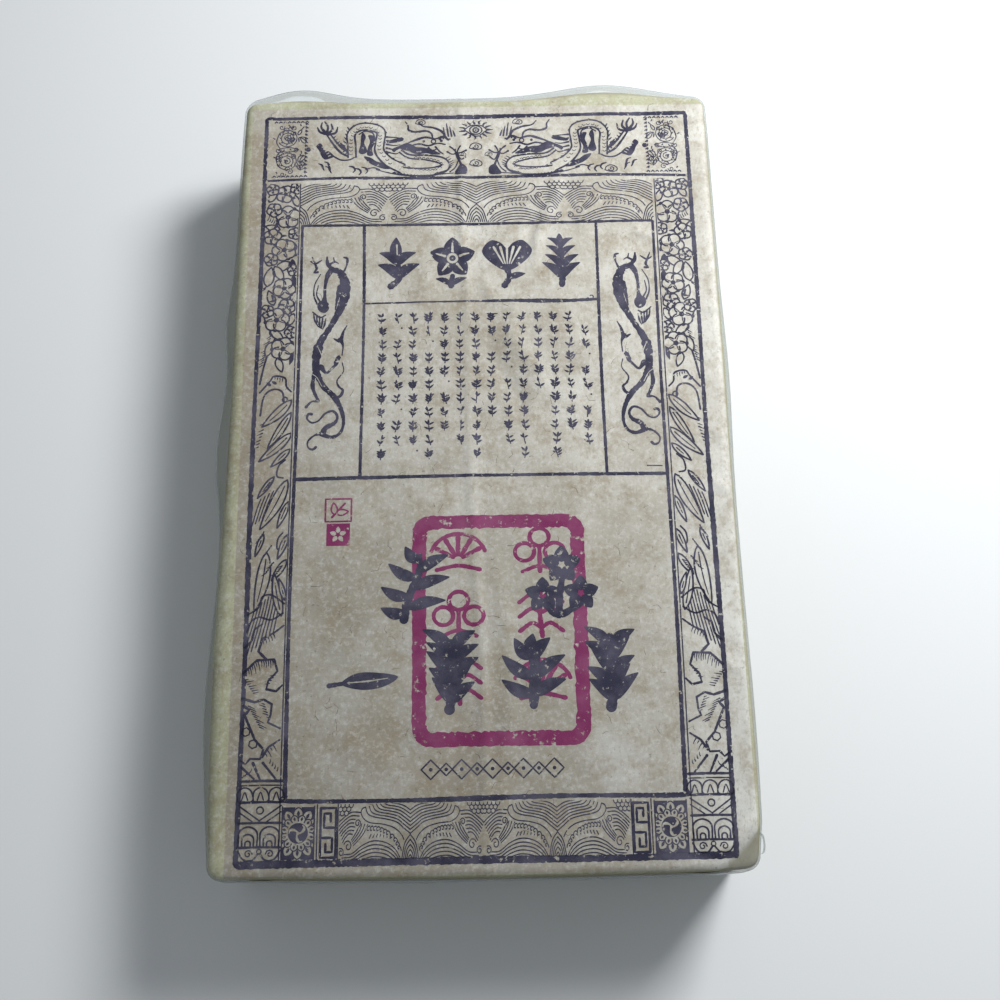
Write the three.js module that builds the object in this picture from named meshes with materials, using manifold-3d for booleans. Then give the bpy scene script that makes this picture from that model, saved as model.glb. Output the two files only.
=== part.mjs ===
// A pressed dark tea brick in its shut paper wrap and a clear film, lying printed face up.
// Millimetres, +Z up, +Y towards the top of the print, origin under the middle of the pack.
import * as THREE from 'three';
import { mergeVertices } from 'three/addons/utils/BufferGeometryUtils.js';
import Module from 'manifold-3d';

const wasm = await Module();
wasm.setup();

// ---- driving sizes ----
const FACE_W = 141;           // between the long creases of the printed face
const FACE_L = 230;           // between its end creases
const THICK = 38;             // underside to printed face at its edges
const CREASE_R = 1.3;         // how sharply the paper folds over the brick's edges
const CORNER_R = 3;           // upright corners, seen from above

// ---- how the wrapped brick departs from a plain slab ----
const CROWN = 0.5;            // the face stands a little higher in its middle
const RIDGE_H = 0.4;          // old fold down the middle of the sheet
const RIDGE_HALF = 1.7;
const RIDGE_TOP_X = -5.3;     // where that fold meets the far and the near end crease
const RIDGE_NEAR_X = 0.9;
const FLARE = 0.8;            // both long edges spread a little towards the near end
const FLARE_Y = -82;
const FLARE_SPREAD = 42;
const END_BOW = 0.7;          // the near edge bows out between its corners

// ---- the clear film's slack along the walls ----
// even: outwards all along a wall, peak: depth of the widest point as a share of the wall's height,
// puffs: where along the wall the film stands off it, how far to each side, and by how much
const SLACK = {
  left: {
    even: 1.9,
    peak: 0.22,
    puffs: [
      { at: 41, spread: 14, amount: 2.3 },
      { at: 1, spread: 19, amount: 3.3 },
      { at: -70, spread: 30, amount: 2.2 },
    ],
  },
  right: { even: 1, peak: 0.22, puffs: [{ at: 24, spread: 24, amount: 1.1 }] },
  far: {
    even: 1.2,
    peak: 0.12,
    puffs: [
      { at: -54, spread: 16, amount: 4.9 },
      { at: 42, spread: 18, amount: 5 },
    ],
  },
  near: { even: -1, peak: 0.3, puffs: [] },
};
const CORNER_GRIP = 0.7;      // share of the slack that the tight corners take away

// the paper under the film, without the puffs
const TIGHT = Object.fromEntries(Object.entries(SLACK).map(([wall, shape]) => [wall, { ...shape, puffs: [] }]));

// ---- dented near right corner, past a slanting crease through this point ----
const DENT_X = 65;
const DENT_Y = -109.5;
const DENT_DROP = 0.4;
const DENT_IN = 0.06;

// ---- the paper's end flaps, folded like a parcel's: one from the face, one up from the underside ----
// each runs between two of the wall's levels, and its fold is the first that is named
const FACE_FLAP = { fold: 0, edge: 7, lift: 0.6 };
const BASE_FLAP = { fold: 8, edge: 3, lift: 1.2 };
const FLAP_ROOT = 1.6;        // how far a flap's solid is sunk in the wall
const FOLD_SINK = 0.2;        // and its surface at its fold, so that it rises out of the wall

// ---- mesh density ----
const CELLS_X = 22;
const CELLS_Y = 26;
const CELLS_Z = 8;
const LEVEL_POWER = 1.6;      // the walls' levels crowd towards the face, where they curve most

const HALF = { x: FACE_W / 2, y: FACE_L / 2, z: THICK / 2 };

const paper = new THREE.MeshStandardMaterial({ color: 0xb9b193, roughness: 0.82, metalness: 0 });

function hump(value, centre, spread) {
  return Math.exp(-(((value - centre) / spread) ** 2));
}

// 0 at both creases of a wall and 1 at its widest point
function swell(depth, peak) {
  return Math.sin(Math.PI * depth ** (Math.log(0.5) / Math.log(peak)));
}

// how far a wall stands out, at a place along it that runs from -half to half
function slackOf({ even, peak, puffs }, place, half, depth) {
  const puffed = puffs.reduce((sum, { at, spread, amount }) => sum + amount * hump(place, at, spread), even);
  return puffed * (1 - CORNER_GRIP * Math.abs(place / half) ** 8) * swell(depth, peak);
}

// rounds the slab's face and underside creases; gives 0 on a face and 1 on a wall
function roundCreases(point) {
  const overX = Math.abs(point.x) - (HALF.x - CREASE_R);
  const overY = Math.abs(point.y) - (HALF.y - CREASE_R);
  const out = Math.max(overX, overY, 0);
  const up = Math.max(Math.abs(point.z) - (HALF.z - CREASE_R), 0);
  const scale = Math.max(out, up) / (Math.hypot(out, up) || 1);
  const reach = out * scale - CREASE_R;
  point.x = THREE.MathUtils.clamp(point.x, -(HALF.x + reach), HALF.x + reach);
  point.y = THREE.MathUtils.clamp(point.y, -(HALF.y + reach), HALF.y + reach);
  point.z += Math.sign(point.z) * up * (scale - 1);
  return out * scale / CREASE_R;
}

// rounds the upright corners; gives the outward direction, seen from above
function roundCorners(point) {
  const overX = Math.max(Math.abs(point.x) - (HALF.x - CORNER_R), 0) * Math.sign(point.x);
  const overY = Math.max(Math.abs(point.y) - (HALF.y - CORNER_R), 0) * Math.sign(point.y);
  const length = Math.hypot(overX, overY) || 1;
  const scale = Math.max(Math.abs(overX), Math.abs(overY)) / length;
  if (overX && overY) {
    point.x += overX * (scale - 1);
    point.y += overY * (scale - 1);
  }
  return { x: overX / length, y: overY / length };
}

function faceRelief(x, y) {
  const crown = CROWN * (1 - (x / HALF.x) ** 2) * (1 - (y / HALF.y) ** 2);
  return crown + RIDGE_H * hump(x, 0, RIDGE_HALF);
}

// the fold runs aslant, so the sheet is sheared with it, less and less towards its long edges
function shearToRidge(point) {
  const along = (point.y + HALF.y) / FACE_L;
  const ridgeX = THREE.MathUtils.lerp(RIDGE_NEAR_X, RIDGE_TOP_X, along);
  point.x += ridgeX * (1 - Math.abs(point.x) / HALF.x);
}

function bowEdges(point) {
  const across = point.x / HALF.x;
  const along = point.y / HALF.y;
  point.x += FLARE * across * hump(point.y, FLARE_Y, FLARE_SPREAD);
  point.y += END_BOW * Math.min(along, 0) * (1 - across ** 2);
}

function dentCorner(point) {
  const past = Math.max((point.x - DENT_X) - (point.y - DENT_Y), 0) * Math.SQRT1_2;
  point.x -= DENT_IN * past;
  point.y += DENT_IN * past;
  point.z -= DENT_DROP * past * Math.max(point.z / HALF.z, 0);
}

// where a point of the plain slab's skin lies on the wrapped brick
function wrapPoint(x, y, z, slack) {
  const point = new THREE.Vector3(x, y, z);
  const wall = roundCreases(point);
  const outward = roundCorners(point);
  const depth = THREE.MathUtils.clamp((HALF.z - point.z) / THICK, 0, 1);
  const bulgeX = slackOf(x < 0 ? slack.left : slack.right, point.y, HALF.y, depth);
  const bulgeY = slackOf(y < 0 ? slack.near : slack.far, point.x, HALF.x, depth);
  const relief = faceRelief(point.x, point.y) * Math.max(point.z / HALF.z, 0);
  shearToRidge(point);
  bowEdges(point);
  point.x += outward.x * wall * bulgeX;
  point.y += outward.y * wall * bulgeY;
  point.z += relief;
  dentCorner(point);
  return point;
}

// grid lines across the face between its rounded corners
function innerLines(half, cells) {
  const inner = half - CORNER_R;
  return Array.from({ length: cells + 1 }, (_, i) => inner * (2 * i / cells - 1));
}

function faceLines(half, cells) {
  const edge = [0, CREASE_R / 2, CREASE_R, CORNER_R * 0.6].map((inset) => inset - half);
  return [...edge, ...innerLines(half, cells), ...edge.map((value) => -value).reverse()];
}

// height of a wall's level: 0 is just under the face crease and CELLS_Z just over the lower one
function wallLevel(i) {
  return HALF.z - CREASE_R - 2 * (HALF.z - CREASE_R) * (i / CELLS_Z) ** LEVEL_POWER;
}

function wallLines() {
  const edge = [HALF.z, HALF.z - CREASE_R / 2];
  const levels = Array.from({ length: CELLS_Z + 1 }, (_, i) => wallLevel(i));
  return [...edge, ...levels, ...edge.map((value) => -value).reverse()].reverse();
}

// moves each vertex of a box of size 2 by its three coordinates
function mapBox(cells, place) {
  const geometry = new THREE.BoxGeometry(2, 2, 2, ...cells);
  const position = geometry.attributes.position;
  for (let i = 0; i < position.count; i += 1) {
    const point = place(position.getX(i), position.getY(i), position.getZ(i));
    position.setXYZ(i, point.x, point.y, point.z);
  }
  return geometry;
}

function wrappedSlab() {
  const lines = [faceLines(HALF.x, CELLS_X), faceLines(HALF.y, CELLS_Y), wallLines()];
  const cells = lines.map((line) => line.length - 1);
  const onLine = (value, axis) => lines[axis][Math.round((value + 1) / 2 * cells[axis])];
  return mapBox(cells, (u, v, w) => wrapPoint(onLine(u, 0), onLine(v, 1), onLine(w, 2), SLACK));
}

// a patch of the paper's end wall with the same facets, standing out from it by the flap's lift
function liftedPatch(end, { fold, edge, lift }) {
  const columns = innerLines(HALF.x, CELLS_X);
  const [highest, lowest] = [Math.min(fold, edge), Math.max(fold, edge)];
  return mapBox([CELLS_X, 1, lowest - highest], (u, v, w) => {
    const x = columns[Math.round((u + 1) / 2 * CELLS_X)];
    const level = lowest - Math.round((w + 1) / 2 * (lowest - highest));
    const point = wrapPoint(x, end * HALF.y, wallLevel(level), TIGHT);
    const outer = level === fold ? -FOLD_SINK : lift;
    point.y += end * (v * end > 0 ? outer : -FLAP_ROOT);
    return point;
  });
}

// a block that cuts the patch to a flap's sides, which run in at 45 degrees from its fold
function flapCutter(end, { fold }) {
  const foldZ = wallLevel(fold);
  return mapBox([1, 1, 1], (u, v, w) => {
    const z = w * THICK / 2;
    const halfWidth = HALF.x - CORNER_R - Math.abs(z - foldZ);
    return new THREE.Vector3(u * halfWidth, end * HALF.y + v * THICK / 2, z);
  });
}

function endFlap(end, flap) {
  return toSolid(liftedPatch(end, flap)).intersect(toSolid(flapCutter(end, flap)));
}

function toSolid(geometry) {
  geometry.deleteAttribute('normal');
  geometry.deleteAttribute('uv');
  const merged = mergeVertices(geometry, 1e-4);
  return new wasm.Manifold(new wasm.Mesh({
    numProp: 3,
    vertProperties: new Float32Array(merged.attributes.position.array),
    triVerts: new Uint32Array(merged.index.array),
  }));
}

function toGeometry(solid) {
  const mesh = solid.getMesh();
  const geometry = new THREE.BufferGeometry();
  geometry.setAttribute('position', new THREE.BufferAttribute(mesh.vertProperties, 3));
  geometry.setIndex(new THREE.BufferAttribute(mesh.triVerts, 1));
  geometry.computeVertexNormals();
  return geometry;
}

// the origin goes under the middle of the whole pack
function standOnOrigin(geometry) {
  geometry.computeBoundingBox();
  const { min, max } = geometry.boundingBox;
  return geometry.translate(-(min.x + max.x) / 2, -(min.y + max.y) / 2, -min.z);
}

function teaBrick() {
  let solid = toSolid(wrappedSlab());
  for (const end of [-1, 1]) {
    solid = solid.add(endFlap(end, FACE_FLAP)).add(endFlap(end, BASE_FLAP));
  }
  const brick = new THREE.Mesh(standOnOrigin(toGeometry(solid)), paper);
  brick.name = 'wrapped_tea_brick';
  return brick;
}

const group = new THREE.Group();
group.add(teaBrick());

export default group;
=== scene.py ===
"""A pressed dark tea brick in its creased, printed paper wrap and a clear film, face up on a pale floor."""
import math

import bpy
import numpy as np
from mathutils import Matrix, Vector
from mathutils.bvhtree import BVHTree
from mathutils.geometry import delaunay_2d_cdt


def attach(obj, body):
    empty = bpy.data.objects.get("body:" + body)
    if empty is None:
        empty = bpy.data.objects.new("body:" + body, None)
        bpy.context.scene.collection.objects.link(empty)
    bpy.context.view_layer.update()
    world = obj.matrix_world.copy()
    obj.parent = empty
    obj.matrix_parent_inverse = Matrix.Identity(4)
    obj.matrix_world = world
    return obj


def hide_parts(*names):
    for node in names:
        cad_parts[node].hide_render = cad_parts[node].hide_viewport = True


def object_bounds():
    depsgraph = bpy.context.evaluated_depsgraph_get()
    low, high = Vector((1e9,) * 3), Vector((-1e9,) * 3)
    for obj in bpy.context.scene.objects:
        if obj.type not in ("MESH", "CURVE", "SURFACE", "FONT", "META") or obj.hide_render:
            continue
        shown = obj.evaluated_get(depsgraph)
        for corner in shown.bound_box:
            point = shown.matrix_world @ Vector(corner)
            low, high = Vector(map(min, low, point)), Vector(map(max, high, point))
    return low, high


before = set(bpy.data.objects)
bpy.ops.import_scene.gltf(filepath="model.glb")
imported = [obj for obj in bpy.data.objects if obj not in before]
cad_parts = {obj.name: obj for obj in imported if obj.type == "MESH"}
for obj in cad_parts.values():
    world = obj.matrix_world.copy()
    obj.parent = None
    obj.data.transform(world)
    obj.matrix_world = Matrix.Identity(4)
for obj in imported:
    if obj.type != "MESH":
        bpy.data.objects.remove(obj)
CAD_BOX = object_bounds()
NODE = "wrapped_tea_brick"
MM = 0.001

# ---- driving sizes of the wrapped brick, in millimetres, close to the frame's model ----
FACE_W, FACE_L, THICK = 141.0, 230.0, 38.0
HALF = np.array([FACE_W, FACE_L, THICK]) / 2
CREASE_R, CORNER_R = 1.3, 3.0
CROWN, RIDGE_H, RIDGE_HALF = 0.5, 0.14, 1.5
RIDGE_TOP_X, RIDGE_NEAR_X = -5.3, 0.9
FLARE, FLARE_Y, FLARE_SPREAD, END_BOW = 0.8, -82.0, 42.0, 0.7
CORNER_GRIP = 0.7
DENT_X, DENT_Y, DENT_DROP, DENT_IN = 65.0, -109.5, 0.4, 0.06

# how far each wall stands out: all along it, then how far down the wall it is widest, as a share of the
# wall's height, and then puffs as (place along the wall, spread, amount)
FILM_SLACK = {
    "left": (1.9, 0.22, [(41, 14, 2.3), (1, 19, 3.3), (-70, 30, 2.2)]),
    "right": (1.0, 0.22, [(24, 24, 1.1)]),
    "far": (1.2, 0.12, [(-54, 16, 4.9), (42, 18, 5.0)]),
    "near": (0.2, 0.3, []),
}
PAPER_SLACK = {
    "left": (1.4, 0.22, [(-50, 50, 1.2)]),
    "right": (0.6, 0.22, [(24, 24, 0.6)]),
    "far": (0.0, 0.12, [(-54, 14, 1.6), (42, 18, 3.4)]),
    "near": (-0.5, 0.3, []),
}

PAPER_SLACKNESS, FILM_SLACKNESS = -0.8, 0.5    # how far creased walls move out, or in where negative
CELL, FILM_CELL = 1.0, 1.3         # mesh of the paper and of the film
BASE_LIFT = 0.2                    # how far the sheet's underside keeps off the floor
SHEET = 0.12                       # thickness of the flaps and the seam
INK_SINK = 0.03                    # how far a print's closed layer reaches into the paper
# how far each layer stands on the paper: plant hairs, the red seals, fine lines and brush marks
FIBRE_LIFT, SEAL_LIFT, LINE_LIFT, BRUSH_LIFT = 0.02, 0.025, 0.04, 0.06
PRINT_X, PRINT_Y = 0.1, -1.3       # the print's centre on the face
FRAME_X, COLUMN_X = 64.3, 52.4     # the print's outer frame and the inner edge of its side columns
TOP_WAVES = (-53.2, 52.8, 73.8, 87.5)              # left, right, foot and top of each band of waves
FOOT_WAVES = (-37.9, 37.5, -109.4, -95.4)
SEAM_X, SEAM_HALF = -3.0, 9.0      # the sheet's overlap along the underside
SEAM_RISE, SEAM_BULGE = 0.21, 0.05  # how far it keeps off the floor, and more along its middle


# ---------------------------------------------------------------- shape of the wrap
def hump(value, centre, spread):
    return np.exp(-((value - centre) / spread) ** 2)


def slack_of(wall, place, half, depth):
    """How far a wall stands out, at a place along it that runs from -half to half."""
    even, peak, puffs = wall
    puffed = even + sum(amount * hump(place, at, spread) for at, spread, amount in puffs)
    swell = np.sin(np.pi * depth ** (math.log(0.5) / math.log(peak)))
    return puffed * (1 - CORNER_GRIP * np.abs(place / half) ** 8) * swell


def wrap_points(slab, slack):
    """Where points of the plain slab's skin lie on the wrapped brick, and 0 on a face to 1 on a wall."""
    side, end = np.sign(slab[:, 0]), np.sign(slab[:, 1])
    x, y, z = slab.T.copy()
    out = np.maximum(np.maximum(np.abs(x) - HALF[0], np.abs(y) - HALF[1]) + CREASE_R, 0)
    up = np.maximum(np.abs(z) - (HALF[2] - CREASE_R), 0)
    scale = np.maximum(out, up) / np.maximum(np.hypot(out, up), 1e-9)
    reach = out * scale - CREASE_R
    x = np.clip(x, -(HALF[0] + reach), HALF[0] + reach)
    y = np.clip(y, -(HALF[1] + reach), HALF[1] + reach)
    z = z + np.sign(z) * up * (scale - 1)
    wall = out * scale / CREASE_R

    over_x = np.maximum(np.abs(x) - (HALF[0] - CORNER_R), 0) * side
    over_y = np.maximum(np.abs(y) - (HALF[1] - CORNER_R), 0) * end
    length = np.maximum(np.hypot(over_x, over_y), 1e-9)
    scale = np.where(over_x * over_y, np.maximum(np.abs(over_x), np.abs(over_y)) / length, 1)
    x = x + over_x * (scale - 1)
    y = y + over_y * (scale - 1)

    depth = np.clip((HALF[2] - z) / THICK, 0, 1)
    slack_x = np.where(side < 0, slack_of(slack["left"], y, HALF[1], depth),
                       slack_of(slack["right"], y, HALF[1], depth))
    slack_y = np.where(end < 0, slack_of(slack["near"], x, HALF[0], depth),
                       slack_of(slack["far"], x, HALF[0], depth))
    crown = CROWN * (1 - (x / HALF[0]) ** 2) * (1 - (y / HALF[1]) ** 2)
    relief = (crown + RIDGE_H * hump(x, 0, RIDGE_HALF)) * np.maximum(z / HALF[2], 0)

    ridge_x = RIDGE_NEAR_X + (RIDGE_TOP_X - RIDGE_NEAR_X) * (y + HALF[1]) / FACE_L
    x = x + ridge_x * (1 - np.abs(x) / HALF[0])
    across, along = x / HALF[0], y / HALF[1]
    x = x + FLARE * across * hump(y, FLARE_Y, FLARE_SPREAD) + over_x / length * wall * slack_x
    y = y + END_BOW * np.minimum(along, 0) * (1 - across ** 2) + over_y / length * wall * slack_y
    z = z + relief

    past = np.maximum((x - DENT_X) - (y - DENT_Y), 0) * math.sqrt(0.5)
    z = z - DENT_DROP * past * np.maximum(z / HALF[2], 0)
    return np.stack([x - DENT_IN * past, y + DENT_IN * past, z], 1), wall


def box_lattice(counts):
    """Skin points of a closed box grid, as whole numbers, and each side's outward quads."""
    skin = np.ones([n + 1 for n in counts], bool)
    skin[1:-1, 1:-1, 1:-1] = False
    ids = np.full(skin.shape, -1)
    ids[skin] = np.arange(skin.sum())
    sides = {
        "right": (ids[-1], 1),
        "left": (ids[0], -1),
        "near": (ids[:, 0], 1),
        "far": (ids[:, -1], -1),
        "face": (ids[:, :, -1], 1),
        "base": (ids[:, :, 0], -1),
    }
    quads = {}
    for name, (grid, turn) in sides.items():
        corners = [grid[:-1, :-1], grid[1:, :-1], grid[1:, 1:], grid[:-1, 1:]]
        quads[name] = np.stack(corners, -1).reshape(-1, 4)[:, ::turn]
    return np.argwhere(skin), quads


def slab_skin(cell):
    lattice, quads = box_lattice([round(2 * half / cell) for half in HALF])
    return (lattice / lattice.max(0) * 2 - 1) * HALF, quads


# ---------------------------------------------------------------- creases and unevenness of the sheet
def ripple(a, b, wavelength, seed, waves=9):
    """Smooth unevenness between about -1 and 1, from crossing waves."""
    rng = np.random.default_rng(seed)
    total = np.zeros_like(a)
    for _ in range(waves):
        angle, phase = rng.uniform(0, 2 * np.pi, 2)
        k = 2 * np.pi / (wavelength * rng.uniform(0.7, 1.6))
        total += np.sin(k * (a * np.cos(angle) + b * np.sin(angle)) + phase)
    return total / (1.2 * math.sqrt(waves))


# lines pressed into the face, in the print's millimetres: start, end, height and half width
FACE_CREASES = [
    ((-5.0, 116), (-3.6, 38), 0.32, 0.9),
    ((-3.4, 34), (0.4, -112), 0.22, 1.0),
    ((4.5, -20), (6.5, -106), 0.24, 2.4),
    ((-9, -96), (-8, -20), -0.16, 2.6),
    ((25, 93), (16, 57), 0.51, 1.4),
    ((20, 76), (13, 62), -0.35, 1.6),
    ((30, 70), (36, 84), 0.26, 1.8),
    ((1, 56), (5.5, 46), 0.32, 1.0),
    ((8, 50), (17, 18), 0.4, 2.6),
    ((3, 38), (12, 8), -0.32, 2.4),
    ((-14, 64), (-22, 34), 0.19, 2.8),
    ((46, 73), (52.5, 66), 0.4, 0.9),
    ((52, 14.5), (62, 14), 0.35, 0.9),
    ((66, 44.5), (71, 44), 0.48, 0.9),
    ((66.5, 8), (68, 2), 0.35, 0.8),
    ((65, -7), (69, -13), 0.38, 0.9),
    ((64, -58), (69, -63), 0.32, 0.8),
    ((-70, -22), (-65, -15), 0.26, 0.9),
    ((-64, -47), (-58, -49), 0.19, 0.8),
    ((58, -111), (70, -101), 0.72, 0.9),
    ((50, -113.2), (63, -110.4), 0.35, 0.9),
    ((-69, -112), (-62, -107), 0.32, 0.9),
    ((-68, 109), (-60, 113), 0.4, 0.9),
    ((60, 112), (69, 107), 0.32, 0.9),
    ((-60, -111.4), (50, -112.2), 0.19, 0.6),
]


def crease(x, y, start, end, height, half_width):
    start, end = np.array(start, float), np.array(end, float)
    run = end - start
    length = np.hypot(*run)
    along = ((x - start[0]) * run[0] + (y - start[1]) * run[1]) / length ** 2
    off = ((x - start[0]) * run[1] - (y - start[1]) * run[0]) / length
    off = off + half_width * np.sin(7 * along + start[0]) * 0.7
    fade = np.sin(np.pi * np.clip(along, 0, 1)) ** 0.6
    return height * fade * np.exp(-(off / half_width) ** 2)


def crumple(points, wall, slackness):
    """Adds creases and unevenness. The walls move out by up to the slackness, or in where it is negative."""
    x, y, z = points.T
    face = np.clip(1 - wall, 0, 1) * (z > 0)
    lift = 0.1 * ripple(x, y, 34, 1) + 0.05 * ripple(x, y, 12, 2)
    for line in FACE_CREASES:
        lift = lift + crease(x - PRINT_X, y - PRINT_Y, *line)
    on_side = np.abs(x) / HALF[0] > np.abs(y) / HALF[1]
    along = np.where(on_side, y, x)
    loose = 0.6 * ripple(along * 0.6, z * 1.5, 24, 4) + 0.4 * ripple(along + z * 0.6, z * 0.4, 8, 5)
    between = np.sin(np.pi * np.clip((HALF[2] - z) / THICK, 0, 1))
    shift = slackness * (0.5 + 0.5 * loose) * np.clip(wall, 0, 1) * between
    moved = points.copy()
    moved[:, 2] += lift * face
    moved[:, 0] += np.where(on_side, np.sign(x) * shift, 0)
    moved[:, 1] += np.where(on_side, 0, np.sign(y) * shift)
    return moved


def puff_out(points, quads, distance):
    """Moves each point outwards along the surface's normal."""
    p = points[quads]
    normal = np.cross(p[:, 2] - p[:, 0], p[:, 3] - p[:, 1])
    total = np.zeros_like(points)
    for corner in range(4):
        np.add.at(total, quads[:, corner], normal)
    return points + distance * total / np.maximum(np.linalg.norm(total, axis=1, keepdims=True), 1e-9)


# ---------------------------------------------------------------- the row frame
def slab_shift():
    """Where the slab's middle goes, so that the film lies in the frame's box and meets its far side."""
    skin = wrap_points(slab_skin(FILM_CELL)[0], FILM_SLACK)[0]
    low, high = (np.array(corner) / MM for corner in CAD_BOX)
    middle = (low[0] + high[0] - skin[:, 0].min() - skin[:, 0].max()) / 2
    return np.array([middle, high[1] - skin[:, 1].max(), HALF[2]])


SHIFT = slab_shift()


def to_row(points):
    """From the slab's own millimetres to the row frame's metres."""
    return (points + SHIFT) * MM


# ---------------------------------------------------------------- making pieces
def mesh_piece(name, vertices, faces, material, sharp=False):
    """A smooth piece of the object. With sharp, its edges of 45 degrees and more stay crisp."""
    mesh = bpy.data.meshes.new(name)
    mesh.from_pydata(vertices, [], faces)
    mesh.polygons.foreach_set("use_smooth", np.ones(len(faces), bool))
    if sharp:
        mesh.set_sharp_from_angle(angle=math.radians(45))
    mesh.update()
    piece = bpy.data.objects.new(name, mesh)
    bpy.context.scene.collection.objects.link(piece)
    mesh.materials.append(material)
    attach(piece, "root")
    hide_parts(NODE)
    return piece


def set_uv(piece, corner_uv):
    """One (u, v) for each face corner, in the map that a baked colour would use."""
    layer = piece.data.uv_layers.new(name="OFBake")
    layer.data.foreach_set("uv", np.asarray(corner_uv, float).ravel())


# ---------------------------------------------------------------- drawing in the print's plane
# A drawing is a list of (outline, inked). A later outline covers an earlier one, as ink or as bare paper.
STEP = 0.62            # between points along a line
ROUGH = 0.16           # unevenness of a line's width
WAVE_LINE = 0.31       # width of the waves' lines
WAVE_LONG, WAVE_HIGH = 26.0, 13.8      # half a repeat of the wave pattern


def curve(points, step=STEP, closed=False):
    """Points along a smooth line through the given ones."""
    p = np.array(points, float)
    before, after = (p[-1:], p[:2]) if closed else (2 * p[:1] - p[1:2], 2 * p[-1:] - p[-2:-1])
    p = np.concatenate([before, p, after])
    found = []
    for a, b, c, d in zip(p[:-3], p[1:-2], p[2:-1], p[3:]):
        t = np.arange(0, 1, 1 / max(1, math.ceil(np.hypot(*(c - b)) / step)))[:, None]
        found.append(b + 0.5 * t * (c - a + t * (2 * a - 5 * b + 4 * c - d + t * (3 * (b - c) + d - a))))
    return np.concatenate(found if closed else found + [p[-2:-1]])


def polyline(points, step=STEP):
    """Points along straight stretches."""
    p = np.array(points, float)
    found = [a + (b - a) * np.arange(0, 1, 1 / max(1, math.ceil(np.hypot(*(b - a)) / step)))[:, None]
             for a, b in zip(p[:-1], p[1:])]
    return np.concatenate(found + [p[-1:]])


def wobble(path, count):
    """A value for each point of a line, the same each run, that depends on where the line starts."""
    seed = int(abs(path[0, 0] * 917 + path[0, 1] * 5113 + path[-1, 0] * 271) * 10) % (2 ** 31)
    return np.random.default_rng(seed).uniform(-1, 1, count)


def ribbon(path, widths, inked=True):
    """A line of ink along a path. The widths are spread evenly from its start to its end."""
    walked = np.concatenate([[0], np.cumsum(np.hypot(*np.diff(path, axis=0).T))])
    share = walked / max(walked[-1], 1e-6)
    width = np.interp(share, np.linspace(0, 1, len(widths)), widths)
    width = width * (1 + ROUGH * wobble(path, len(path)))
    ahead = np.gradient(path, axis=0)
    ahead /= np.maximum(np.hypot(*ahead.T), 1e-9)[:, None]
    across = np.stack([-ahead[:, 1], ahead[:, 0]], 1) * width[:, None] / 2
    caps = [path[:1] - ahead[:1] * width[0] * 0.4, path[-1:] + ahead[-1:] * width[-1] * 0.4]
    path = np.concatenate([caps[0], path, caps[1]])
    across = np.concatenate([across[:1] * 0.5, across, across[-1:] * 0.5])
    left, right = path + across, path - across
    return [(np.stack([left[i], left[i + 1], right[i + 1], right[i]]), inked) for i in range(len(path) - 1)]


def stroke(points, *widths, inked=True):
    return ribbon(curve(points), widths, inked)


def bar(points, *widths):
    return ribbon(polyline(points), widths)


def fill(points, inked=True):
    return [(curve(points, closed=True), inked)]


def block(points, inked=True):
    return [(np.array(points, float), inked)]


def outlined(points, width):
    """A closed shape drawn as a line, hiding what lies under it."""
    return fill(points, False) + ribbon(curve([*points, points[0]]), (width,))


def circle(x, y, radius, start=0.0, turn=360.0, squash=1.0, points=None):
    count = points or max(8, math.ceil(abs(turn) / 360 * 6.3 * radius / STEP))
    angle = np.radians(start + np.linspace(0, turn, count + 1))
    return np.stack([x + radius * np.cos(angle), y + radius * squash * np.sin(angle)], 1)


def dot(x, y, radius, squash=1.0, inked=True):
    return [(circle(x, y, radius, squash=squash)[:-1], inked)]


def ring(x, y, radius, width, start=0.0, turn=360.0, squash=1.0):
    return ribbon(circle(x, y, radius, start, turn, squash), (width,))


def spiral(x, y, outer, inner, turns, start, *widths):
    count = max(10, math.ceil(abs(turns) * 6.3 * (outer + inner) / 2 / STEP))
    share = np.linspace(0, 1, count + 1)
    angle = np.radians(start) + share * turns * 2 * np.pi
    radius = outer + (inner - outer) * share
    return ribbon(np.stack([x + radius * np.cos(angle), y + radius * np.sin(angle)], 1), widths)


def placed(drawing, x=0.0, y=0.0, scale=1.0, turn=0.0, stretch=1.0):
    """A drawing made round the origin, stretched along x, turned in degrees and moved."""
    c, s = math.cos(math.radians(turn)) * scale, math.sin(math.radians(turn)) * scale
    spin = np.array([[c, s], [-s, c]])
    return [(outline * (stretch, 1) @ spin + (x, y), inked) for outline, inked in drawing]


def mirrored(drawing, axis=0.0):
    return [(outline * (-1, 1) + (2 * axis, 0), inked) for outline, inked in drawing]


def strokes(*lines):
    """Strokes drawn one after another, each from its points and then its widths."""
    return [part for points, *widths in lines for part in stroke(points, *widths)]


def turned(motif, x=0.0, y=0.0, scale=1.0, start=0, step=72):
    """Copies of a drawing, turned about one place by equal steps."""
    return [part for k in range(360 // step) for part in placed(motif, x, y, scale, start + step * k)]


def polar(x, y, radius, turn):
    """The point at a distance from another one, in a direction in degrees."""
    return x + radius * math.cos(math.radians(turn)), y + radius * math.sin(math.radians(turn))


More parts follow.
